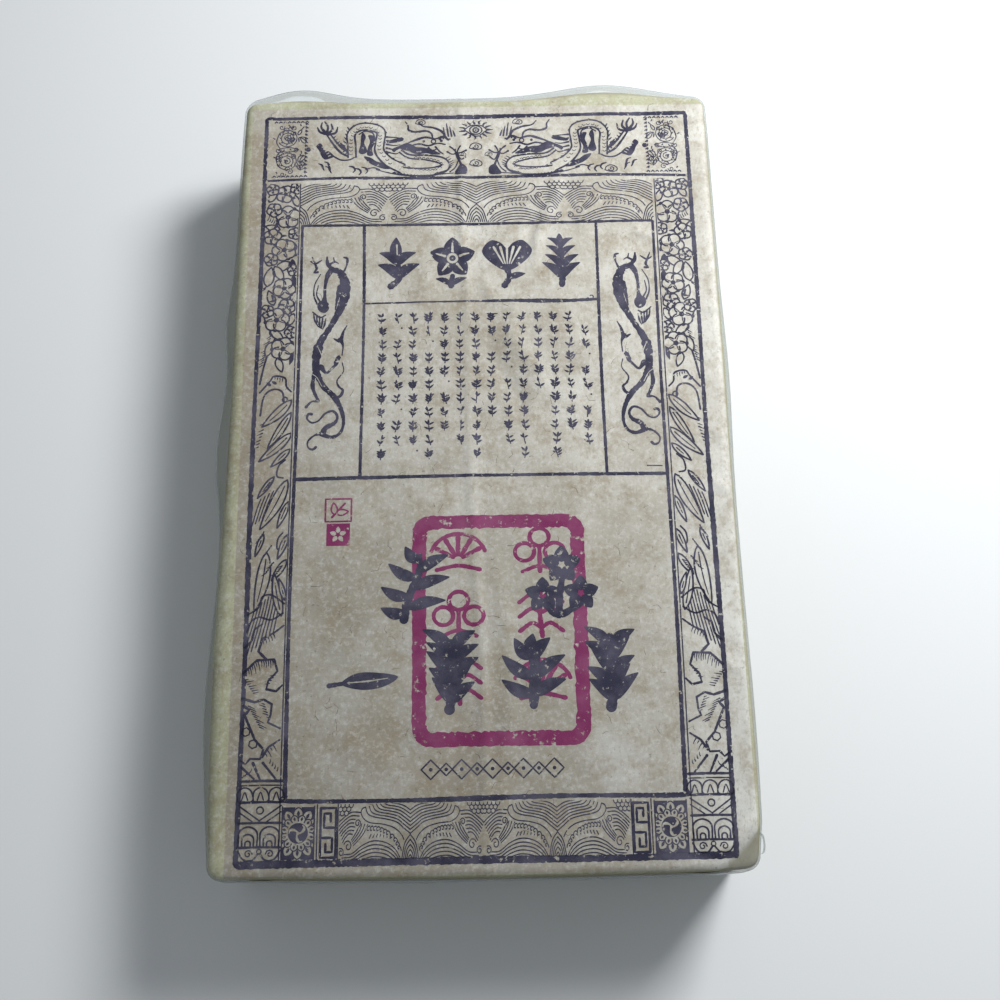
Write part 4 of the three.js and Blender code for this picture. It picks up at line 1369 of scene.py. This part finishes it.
def flecked(nodes, place, colour):
    """Pale and brown fibres and flecks in the paper."""
    flake = nodes.ramp(nodes.noise(place, 1.5, 3, 0.75, shift=31), 0.47, 0.70, 0, 0.36)
    thread = nodes.ramp(nodes.noise(place, 1.0, 3, 0.7, (2, 1, 1), 7), 0.54, 0.72, 0, 0.26)
    colour = nodes.mix(nodes.math("MAXIMUM", flake, thread), colour, PALE_FLECK)
    strand = nodes.ramp(nodes.noise(place, 0.9, 4, 0.75, (1, 2, 1), 19), 0.48, 0.72, 0, 0.5)
    colour = nodes.mix(strand, colour, BLOTCH)
    speck = nodes.ramp(nodes.noise(place, 1.3, 2, 0.6, shift=41), 0.66, 0.74, 0, 0.45)
    return nodes.mix(speck, colour, SPECK)


# places and sizes of darker patches, and of the pale patch
STAIN_SPOTS = [(-66, 100, 6), (-69, 86, 4), (69, -20, 3), (-62, -60, 5), (-10, -88, 9), (-30, -80, 8),
               (2, -70, 5)]
PALE_PATCH_SPOT = (35, -87, 8)


def stains_and_painted_light(nodes, place, x, y, colour):
    """Brown margin at the left, partly the paper's own brown and partly painted shade; worn corners; painted
    light along the right edge; and a pale patch near the print's foot.
    """
    # the left margin is browned: partly the paper's own brown, partly painted shade, as less light falls on
    # the left
    brown_and_shade = nodes.ramp(nodes.math("MULTIPLY_ADD", nodes.noise(place, 18, 4), 14, x), -39, -56)
    share = nodes.math("MULTIPLY", nodes.math("MULTIPLY", brown_and_shade, nodes.ramp(y, -110, 0, 0.5, 1)), 0.42)
    colour = nodes.mix(share, colour, STAIN_AND_SHADE)
    uneven = nodes.noise(place, 5, 3, shift=5)
    for patch in STAIN_SPOTS:
        colour = nodes.mix(nodes.math("MULTIPLY", nodes.near(place, uneven, *patch), 0.4), colour, STAIN_AND_SHADE)
    # painted light: the paper grows paler towards the right edge, more so lower down
    right = nodes.math("MULTIPLY", nodes.ramp(x, 46, 67), nodes.ramp(y, 70, -60, 0.1, 0.5))
    colour = nodes.mix(right, colour, RIGHT_EDGE_LIGHT)
    # a patch paler than the paper round it, near the print's foot
    pale_patch = nodes.near(place, uneven, *PALE_PATCH_SPOT)
    return nodes.mix(nodes.math("MULTIPLY", pale_patch, 0.4), colour, PALE_PATCH)


def paper_bump(nodes, place, strength):
    """Fine fibres, too small to be modelled."""
    height = nodes.noise(place, 0.7, 4, 0.65, (2.5, 1, 1))
    inputs = {"Height": height, "Strength": strength, "Distance": 0.15 * MM}
    nodes.put(nodes.shader.inputs["Normal"], nodes.add("ShaderNodeBump", inputs).outputs[0])


def plain_material(name, colour, roughness):
    nodes = Nodes(name)
    nodes.shader.inputs["Base Color"].default_value = (*colour, 1)
    nodes.shader.inputs["Roughness"].default_value = roughness
    return nodes.material


def wrap_paper():
    nodes = Nodes("wrap_paper")
    place = nodes.place()
    nodes.soft_surface(paper_colour(nodes, place), 0.86)
    paper_bump(nodes, place, 0.25)
    return nodes.material


def worn_ink(name, ink, thin, bare, grain):
    """Ink that has sunk into the paper: thinner in clouds, and rubbed off in specks."""
    nodes = Nodes(name)
    place = nodes.place()
    cloud = nodes.ramp(nodes.noise(place, 9, 4, 0.6, shift=3), 0.38, 0.68)
    colour = nodes.mix(cloud, ink, thin)
    speck = nodes.ramp(nodes.noise(place, grain, 4, 0.7, shift=11), 1 - bare, 1.08 - bare)
    nodes.soft_surface(nodes.mix(speck, colour, paper_colour(nodes, place)), 0.8)
    paper_bump(nodes, place, 0.2)
    return nodes.material


def clear_film():
    """Thin clear film: seen through from above, hazy and then dark where it turns away."""
    nodes = Nodes("clear_film")
    nodes.tree.nodes.remove(nodes.shader)
    facing = nodes.add("ShaderNodeLayerWeight", {"Blend": 0.25}).outputs["Facing"]
    tint = nodes.mix(nodes.ramp(facing, 0.62, 0.9), FILM_TINT, FILM_EDGE)
    through = nodes.add("ShaderNodeBsdfTransparent", {"Color": tint}).outputs[0]
    haze = nodes.add("ShaderNodeBsdfDiffuse", {"Color": (*FILM_HAZE, 1)}).outputs[0]
    hazy = nodes.add("ShaderNodeMixShader", {0: nodes.ramp(facing, 0.36, 0.7, 0, 0.32), 1: through,
                                             2: haze}).outputs[0]
    gloss = nodes.add("ShaderNodeBsdfGlossy", {"Color": (1, 1, 1, 1), "Roughness": 0.25}).outputs[0]
    share = nodes.math("MULTIPLY", nodes.add("ShaderNodeFresnel", {"IOR": 1.25}).outputs[0], 0.4)
    blend = nodes.add("ShaderNodeMixShader", {0: share, 1: hazy, 2: gloss}).outputs[0]
    nodes.put(nodes.tree.nodes["Material Output"].inputs["Surface"], blend)
    return nodes.material


# ---------------------------------------------------------------- the sheet, its flaps and seam, and the film
FILM_GAP = 0.16        # how far the film is puffed out over the print
FILM_EASE = 0.15       # and how much more at the walls
# where the film's loop starts, and how far it stands out, how long it is and how deep
LOOP_X, LOOP_Y, LOOP_Z = 70.9, -105.6, 16.6
LOOP_OUT, LOOP_LONG, LOOP_DEEP = 1.5, 5.4, 2.4
FLAP_EASE = 0.4        # how far a flap stays inside the end's corners
# each flap's name, 1 for folded at the face or -1 at the base, its depth and how far it stands off the wall
FLAPS = [("face_flap", 1, 28.6, 0.02), ("base_flap", -1, 28.0, 0.22)]
# for each side but the face: its axes, the way the first one runs, and where it starts in the flat layout
SIDE_LAYOUT = {
    "base": ([0, 1], -1, 0, 0),
    "left": ([2, 1], 1, 72, 0),
    "right": ([2, 1], 1, 72, 117),
    "near": ([0, 2], 1, 0, 118),
    "far": ([0, 2], 1, 0, 140),
}
LAYOUT_GAP, LAYOUT_SIDE = 2, 236       # between the face and the other sides, and of the whole square


def wrapped(slab, slack, slackness):
    points, wall = wrap_points(slab, slack)
    return crumple(points, wall, slackness), wall


def to_triangles(quads):
    return np.concatenate([quads[:, [0, 1, 2]], quads[:, [0, 2, 3]]])


def skin_uv(slab, quads):
    """Flat layout in millimetres: the face whole, and the other sides at half size to its right."""
    found = []
    for name, faces in quads.items():
        corners = slab[to_triangles(faces)]
        if name == "face":
            found.append(corners[..., :2] + HALF[:2])
        else:
            axes, run, u, v = SIDE_LAYOUT[name]
            half_size = (corners[..., axes] * (run, 1) + HALF[axes]) / 2
            found.append(half_size + (FACE_W + LAYOUT_GAP + u, v))
    return np.concatenate(found) / LAYOUT_SIDE


def wrap_sheet(material):
    """Makes the paper, and returns its points and the face's triangles."""
    slab, quads = slab_skin(CELL)
    points, _ = wrapped(slab, PAPER_SLACK, PAPER_SLACKNESS)
    points[:, 2] += BASE_LIFT * (points[:, 2] < -HALF[2] + 1)
    triangles = np.concatenate([to_triangles(faces) for faces in quads.values()])
    sheet = mesh_piece("wrap_sheet", to_row(points), triangles.tolist(), material)
    set_uv(sheet, skin_uv(slab, quads))
    return points, to_triangles(quads["face"])


def film_cover(material):
    slab, quads = slab_skin(FILM_CELL)
    points, wall = wrapped(slab, FILM_SLACK, FILM_SLACKNESS)
    every = np.concatenate(list(quads.values()))
    outward = puff_out(points, every, 1.0) - points
    points = points + outward * (FILM_GAP + FILM_EASE * np.clip(wall, 0, 1))[:, None]
    points[:, 2] = np.maximum(points[:, 2], -HALF[2])
    triangles = to_triangles(every)
    mesh_piece("film_cover", to_row(points), triangles.tolist(), material)


def thin_sheet(name, inner, thickness, material):
    """A closed sheet over a grid of points, thickened by a vector for each."""
    rows, columns = inner.shape[:2]
    ids = np.arange(rows * columns).reshape(rows, columns)
    outer = ids + rows * columns

    def quads(grid):
        return np.stack([grid[:-1, :-1], grid[1:, :-1], grid[1:, 1:], grid[:-1, 1:]], -1).reshape(-1, 4)

    rim = np.concatenate([ids[0, :-1], ids[:-1, -1], ids[-1, :0:-1], ids[:0:-1, 0]])
    ahead = np.roll(rim, -1)
    sides = np.stack([rim, ahead, ahead + rows * columns, rim + rows * columns], 1)
    faces = np.concatenate([quads(ids), quads(outer)[:, ::-1], sides[:, ::-1]])
    points = np.concatenate([inner.reshape(-1, 3), (inner + thickness).reshape(-1, 3)])
    mesh_piece(name, to_row(points), faces.tolist(), material, sharp=True)


def end_flap(end, label, fold, depth, stand_off, material):
    """One flap of the parcel fold, from its fold to its free edge, with sides that run in at 45 degrees."""
    along, down = np.meshgrid(np.linspace(-1, 1, 70), np.linspace(0, 1, 16), indexing="ij")
    z = fold * (HALF[2] - CREASE_R - depth * down)
    x = along * (HALF[0] - CORNER_R - FLAP_EASE - depth * down)
    slab = np.stack([x, np.full_like(x, end * HALF[1]), z], -1)
    points, _ = wrapped(slab.reshape(-1, 3), PAPER_SLACK, PAPER_SLACKNESS)
    points = points.reshape(slab.shape)
    free = np.maximum(down, np.abs(along) * np.minimum(down * 6, 1)) ** 8
    rise = stand_off * np.minimum(down * 5, 1) + 0.1 * free
    points[..., 1] += end * rise
    name = ("far_" if end > 0 else "near_") + label
    grid = points if end * fold < 0 else points[::-1]
    thin_sheet(name, grid, (0, end * SHEET, 0), material)


def film_loop(material):
    """A small loop of slack film at the near right corner, standing on edge."""
    down, along = np.meshgrid(np.linspace(0, 1, 5), np.linspace(0, 1, 25), indexing="ij")
    x = LOOP_X + LOOP_OUT * np.sin(np.pi * along) ** 0.6
    y = LOOP_Y - LOOP_LONG * (along - 0.12 * np.sin(2 * np.pi * along))
    points = np.stack([x, y, LOOP_Z - LOOP_DEEP * down], -1)
    thin_sheet("film_loop", points, (0.14, 0, 0), material)


def back_seam(material):
    """The sheet's overlap, a strip along the middle of the underside."""
    across, along = np.meshgrid(np.linspace(-1, 1, 15), np.linspace(-1, 1, 150), indexing="ij")
    x = SEAM_X + SEAM_HALF * across + 0.4 * ripple(along * 60, across * 0, 40, 8)
    y = along * (HALF[1] - CREASE_R - 1)
    z = -HALF[2] + SEAM_RISE + SEAM_BULGE * (1 - across ** 2)
    points = np.stack([x, y, z], -1)
    thin_sheet("back_seam", points, (0, 0, -SHEET), material)


# ---------------------------------------------------------------- laying the print on the paper
TILE = 10.0            # the print is worked out in squares of this size
ASIDE = 0.001          # how far a ray is moved off a mesh line
WELD = 5000            # steps to a millimetre: corners that round to the same step are joined
NEARNESS = 1e-5        # a line meets a point that is this near to it
DOWN = Vector((0, 0, -1))


def lattice_edges(plan, triangles, low, high):
    """The paper's mesh lines in and round a rectangle of the print, as points and edges."""
    kept = ((plan > low - CELL * 1.5) & (plan < high + CELL * 1.5)).all(1)
    chosen = triangles[kept[triangles].all(1)]
    used = np.unique(chosen)
    edges = np.searchsorted(used, np.concatenate([chosen[:, [0, 1]], chosen[:, [1, 2]], chosen[:, [2, 0]]]))
    return plan[used], np.unique(np.sort(edges, 1), axis=0)


def inside(points, outline):
    """Which points a closed outline goes round."""
    (ax, ay), (bx, by) = outline.T[:, :, None], np.roll(outline, -1, 0).T[:, :, None]
    x, y = points.T
    side = (bx - ax) * (y - ay) - (x - ax) * (by - ay)
    up = (ay <= y) & (by > y) & (side > 0)
    down = (by <= y) & (ay > y) & (side < 0)
    return up.sum(0) != down.sum(0)


def triangulated(loops, grid, edges):
    """Corners of the triangles between closed lines and the paper's mesh lines."""
    lines, start = [], 0
    for loop in loops:
        ids = np.arange(start, start + len(loop))
        lines += zip(ids.tolist(), np.roll(ids, -1).tolist())
        start += len(loop)
    corners = [Vector(p) for p in np.concatenate([*loops, grid]).tolist()]
    found = delaunay_2d_cdt(corners, lines + (edges + start).tolist(), [], 0, NEARNESS)
    return np.array([tuple(v) for v in found[0]])[np.array(found[2])]


def joined(corners):
    """Points and triangles from the corners of triangles that touch."""
    flat = corners.reshape(-1, 2)
    _, kept, ids = np.unique(np.round(flat * WELD).astype(int), axis=0, return_index=True,
                             return_inverse=True)
    triangles = ids.reshape(-1, 3)
    return flat[kept], triangles[(triangles != np.roll(triangles, 1, 1)).all(1)]


def rim_edges(triangles, count):
    edges = np.concatenate([triangles[:, [0, 1]], triangles[:, [1, 2]], triangles[:, [2, 0]]])
    return edges[~np.isin(edges[:, 0] * count + edges[:, 1], edges[:, 1] * count + edges[:, 0])]


def tile_triangles(drawing, grid, edges, low, high):
    """Corners of the ink inside one square, cut along the paper's mesh so that it follows the creases."""
    square = np.array([low, (high[0], low[1]), high, (low[0], high[1])])
    corners = triangulated([square, *(outline for outline, _ in drawing)], grid[:0], edges[:0])
    middle = corners.mean(1)
    inked = np.zeros(len(corners), bool)
    for outline, flag in drawing:
        close = np.flatnonzero(((middle > outline.min(0)) & (middle < outline.max(0))).all(1))
        inked[close[inside(middle[close], outline)]] = flag
    points, triangles = joined(corners[inked & ((middle > low) & (middle < high)).all(1)])
    rim = points[rim_edges(triangles, len(points))]
    if not len(rim):
        return rim.reshape(0, 3, 2)
    corners = triangulated(list(rim), grid, edges)
    return corners[within(corners.mean(1), rim)]


def within(points, rim):
    """Which points an odd number of rim edges lie to the right of."""
    (ax, ay), (bx, by) = rim[:, 0].T[:, :, None], rim[:, 1].T[:, :, None]
    x, y = points.T
    crossed = (ay <= y) != (by <= y)
    at = ax + (bx - ax) * (y - ay) / np.where(crossed, by - ay, 1)
    return (crossed & (at > x)).sum(0) % 2 == 1


def inked_triangles(drawing, face_points, face_triangles):
    """Joins a drawing, in its order of covering, into triangles of ink."""
    plan = face_points[:, :2] - (PRINT_X, PRINT_Y)
    lows = np.array([outline.min(0) for outline, _ in drawing])
    highs = np.array([outline.max(0) for outline, _ in drawing])
    inked = np.array([flag for _, flag in drawing])
    first = np.floor(lows[inked].min(0) / TILE).astype(int)
    last = np.ceil(highs[inked].max(0) / TILE).astype(int)
    found = []
    for square in np.ndindex(*(last - first)):
        low = (first + square) * TILE
        high = low + TILE
        touching = ((highs > low) & (lows < high)).all(1)
        if (touching & inked).any():
            here = [drawing[i] for i in np.flatnonzero(touching)]
            found.append(tile_triangles(here, *lattice_edges(plan, face_triangles, low, high), low, high))
    return joined(np.concatenate(found))


def drape(plan, ground):
    """Heights of the paper under points of the print. A ray can slip through where it meets a mesh line."""
    heights = []
    for x, y in plan + (PRINT_X, PRINT_Y):
        tries = (Vector((x + k * ASIDE, y + k * ASIDE / 3, HALF[2] + 5)) for k in range(1, 20))
        heights.append(next(hit[0].z for hit in (ground.ray_cast(at, DOWN) for at in tries) if hit[0]))
    return np.array(heights)


def ink_shell(plan, triangles, ground, lift):
    """A thin closed layer of ink over the triangles."""
    z = drape(plan, ground)
    count = len(plan)
    flat = plan + (PRINT_X, PRINT_Y)
    points = np.concatenate([np.column_stack([flat, z + lift]), np.column_stack([flat, z - INK_SINK])])
    rim = rim_edges(triangles, count)
    sides = np.column_stack([rim[:, 0], rim[:, 0] + count, rim[:, 1] + count, rim[:, 1]])
    return points, triangles.tolist() + (triangles[:, ::-1] + count).tolist() + sides.tolist()


def print_piece(name, drawings, paper, lift, material):
    """One piece of print from one or more drawings, each with its own order of covering."""
    points, faces, offset = [], [], 0
    face_points, face_triangles, ground = paper
    for drawing in drawings:
        shell, shell_faces = ink_shell(*inked_triangles(drawing, face_points, face_triangles), ground, lift)
        points.append(shell)
        faces += [[v + offset for v in face] for face in shell_faces]
        offset += len(shell)
    points = np.concatenate(points)
    piece = mesh_piece(name, to_row(points), faces, material, sharp=True)
    flat = points[:, :2] - points[:, :2].min(0)
    corners = np.concatenate(faces)
    set_uv(piece, flat[corners] / flat.max() * 0.98 + 0.01)


# ---------------------------------------------------------------- studio
CAMERA_X, CAMERA_Y, CAMERA_RISE = 2.99, -116.17, 333.56   # from the print's centre, millimetres
CAMERA_RIGHT = Vector((0.9999, -0.0172, 0.0012))
CAMERA_AHEAD = Vector((0.0063, 0.2944, -0.9557))
LENS = 45.0
FLOOR_COLOUR = (0.74, 0.76, 0.77)
SKY_COLOUR, SKY_STRENGTH = (0.9, 0.95, 1), 0.31
KEY_PLACE, KEY_TARGET = (0.30, 0.28, 0.42), (0.02, 0.02, 0.03)      # metres in the row frame
KEY_SIZE, KEY_POWER = 0.2, 3.9


def print_to_row(x, y, z):
    return Vector(to_row(np.array([x + PRINT_X, y + PRINT_Y, z])))


def make_camera():
    data = bpy.data.cameras.new("camera")
    data.lens = LENS
    data.sensor_width = 36
    data.clip_start = 0.01
    camera = bpy.data.objects.new("camera", data)
    bpy.context.scene.collection.objects.link(camera)
    back = -CAMERA_AHEAD.normalized()
    right = (CAMERA_RIGHT - back * CAMERA_RIGHT.dot(back)).normalized()
    up = back.cross(right)
    turn = Matrix((right, up, back)).transposed().to_4x4()
    camera.matrix_world = Matrix.Translation(print_to_row(CAMERA_X, CAMERA_Y, HALF[2] + CAMERA_RISE)) @ turn
    bpy.context.scene.camera = camera


def key_light():
    """The window's light, from the far right."""
    data = bpy.data.lights.new("key", "AREA")
    data.size = KEY_SIZE
    data.energy = KEY_POWER
    light = bpy.data.objects.new("key", data)
    light.location = KEY_PLACE
    light.rotation_euler = (Vector(KEY_PLACE) - Vector(KEY_TARGET)).to_track_quat("Z", "Y").to_euler()
    bpy.context.scene.collection.objects.link(light)


def make_studio():
    """The floor, the pale sky and the key light."""
    bpy.ops.mesh.primitive_plane_add(size=6)
    floor = bpy.context.object
    floor.name = "floor"
    floor.data.materials.append(plain_material("floor", FLOOR_COLOUR, 0.85))
    world = bpy.data.worlds.new("studio")
    bpy.context.scene.world = world
    world.use_nodes = True
    sky = world.node_tree.nodes["Background"]
    sky.inputs["Color"].default_value = (*SKY_COLOUR, 1)
    sky.inputs["Strength"].default_value = SKY_STRENGTH
    key_light()
    bpy.context.scene.view_settings.view_transform = "Standard"


# ---------------------------------------------------------------- the whole scene
PAPER = wrap_paper()
INK = worn_ink("indigo_ink", INDIGO, INDIGO_THIN, bare=0.40, grain=1.6)
RED = worn_ink("seal_ink", SEAL_RED, SEAL_THIN, bare=0.42, grain=2.4)
FILM = clear_film()


def wrap_pack():
    """The sheet, its flaps and seam, and the film. Returns what the print is laid on."""
    points, triangles = wrap_sheet(PAPER)
    for end in (-1, 1):
        for flap in FLAPS:
            end_flap(end, *flap, PAPER)
    back_seam(PAPER)
    film_cover(FILM)
    film_loop(FILM)
    return points, triangles, BVHTree.FromPolygons(points.tolist(), triangles.tolist())


def print_all(paper):
    """Every part of the print. The fine lines are one piece for each panel."""
    def indigo(name, drawings, lift=LINE_LIFT):
        print_piece(name, drawings, paper, lift, INK)

    indigo("print_rules", [frame_rules()])
    indigo("print_top_waves", wave_band(*TOP_WAVES, axis=-0.3, half_repeat=26.5))
    indigo("print_foot_waves", wave_band(*FOOT_WAVES, axis=-19.5, half_repeat=19.0))
    dragons = [facing_dragon(), mirrored(facing_dragon(), axis=0.3), pearl_and_clouds()]
    indigo("print_top_dragons", dragons + [corner_square(1), corner_square(-1)])
    indigo("print_side_dragons", [side_dragon(), mirrored(side_dragon(), axis=0.9)])
    indigo("print_left_column", side_column())
    indigo("print_right_column", [mirrored(drawing, axis=0.1) for drawing in side_column()])
    indigo("print_foot_tiles", bottom_tiles())
    indigo("print_title", title_signs())
    indigo("print_leaf_columns", [leaf_columns(), lozenge_row()])
    indigo("print_brush_sprigs", brush_sprigs(), BRUSH_LIFT)
    brown = plain_material("paper_fibre", FIBRE, 0.8)
    print_piece("paper_fibres", [fibres()], paper, FIBRE_LIFT, brown)
    print_piece("print_seals", [seal(), *small_seals()], paper, SEAL_LIFT, RED)


print_all(wrap_pack())
make_camera()
make_studio()
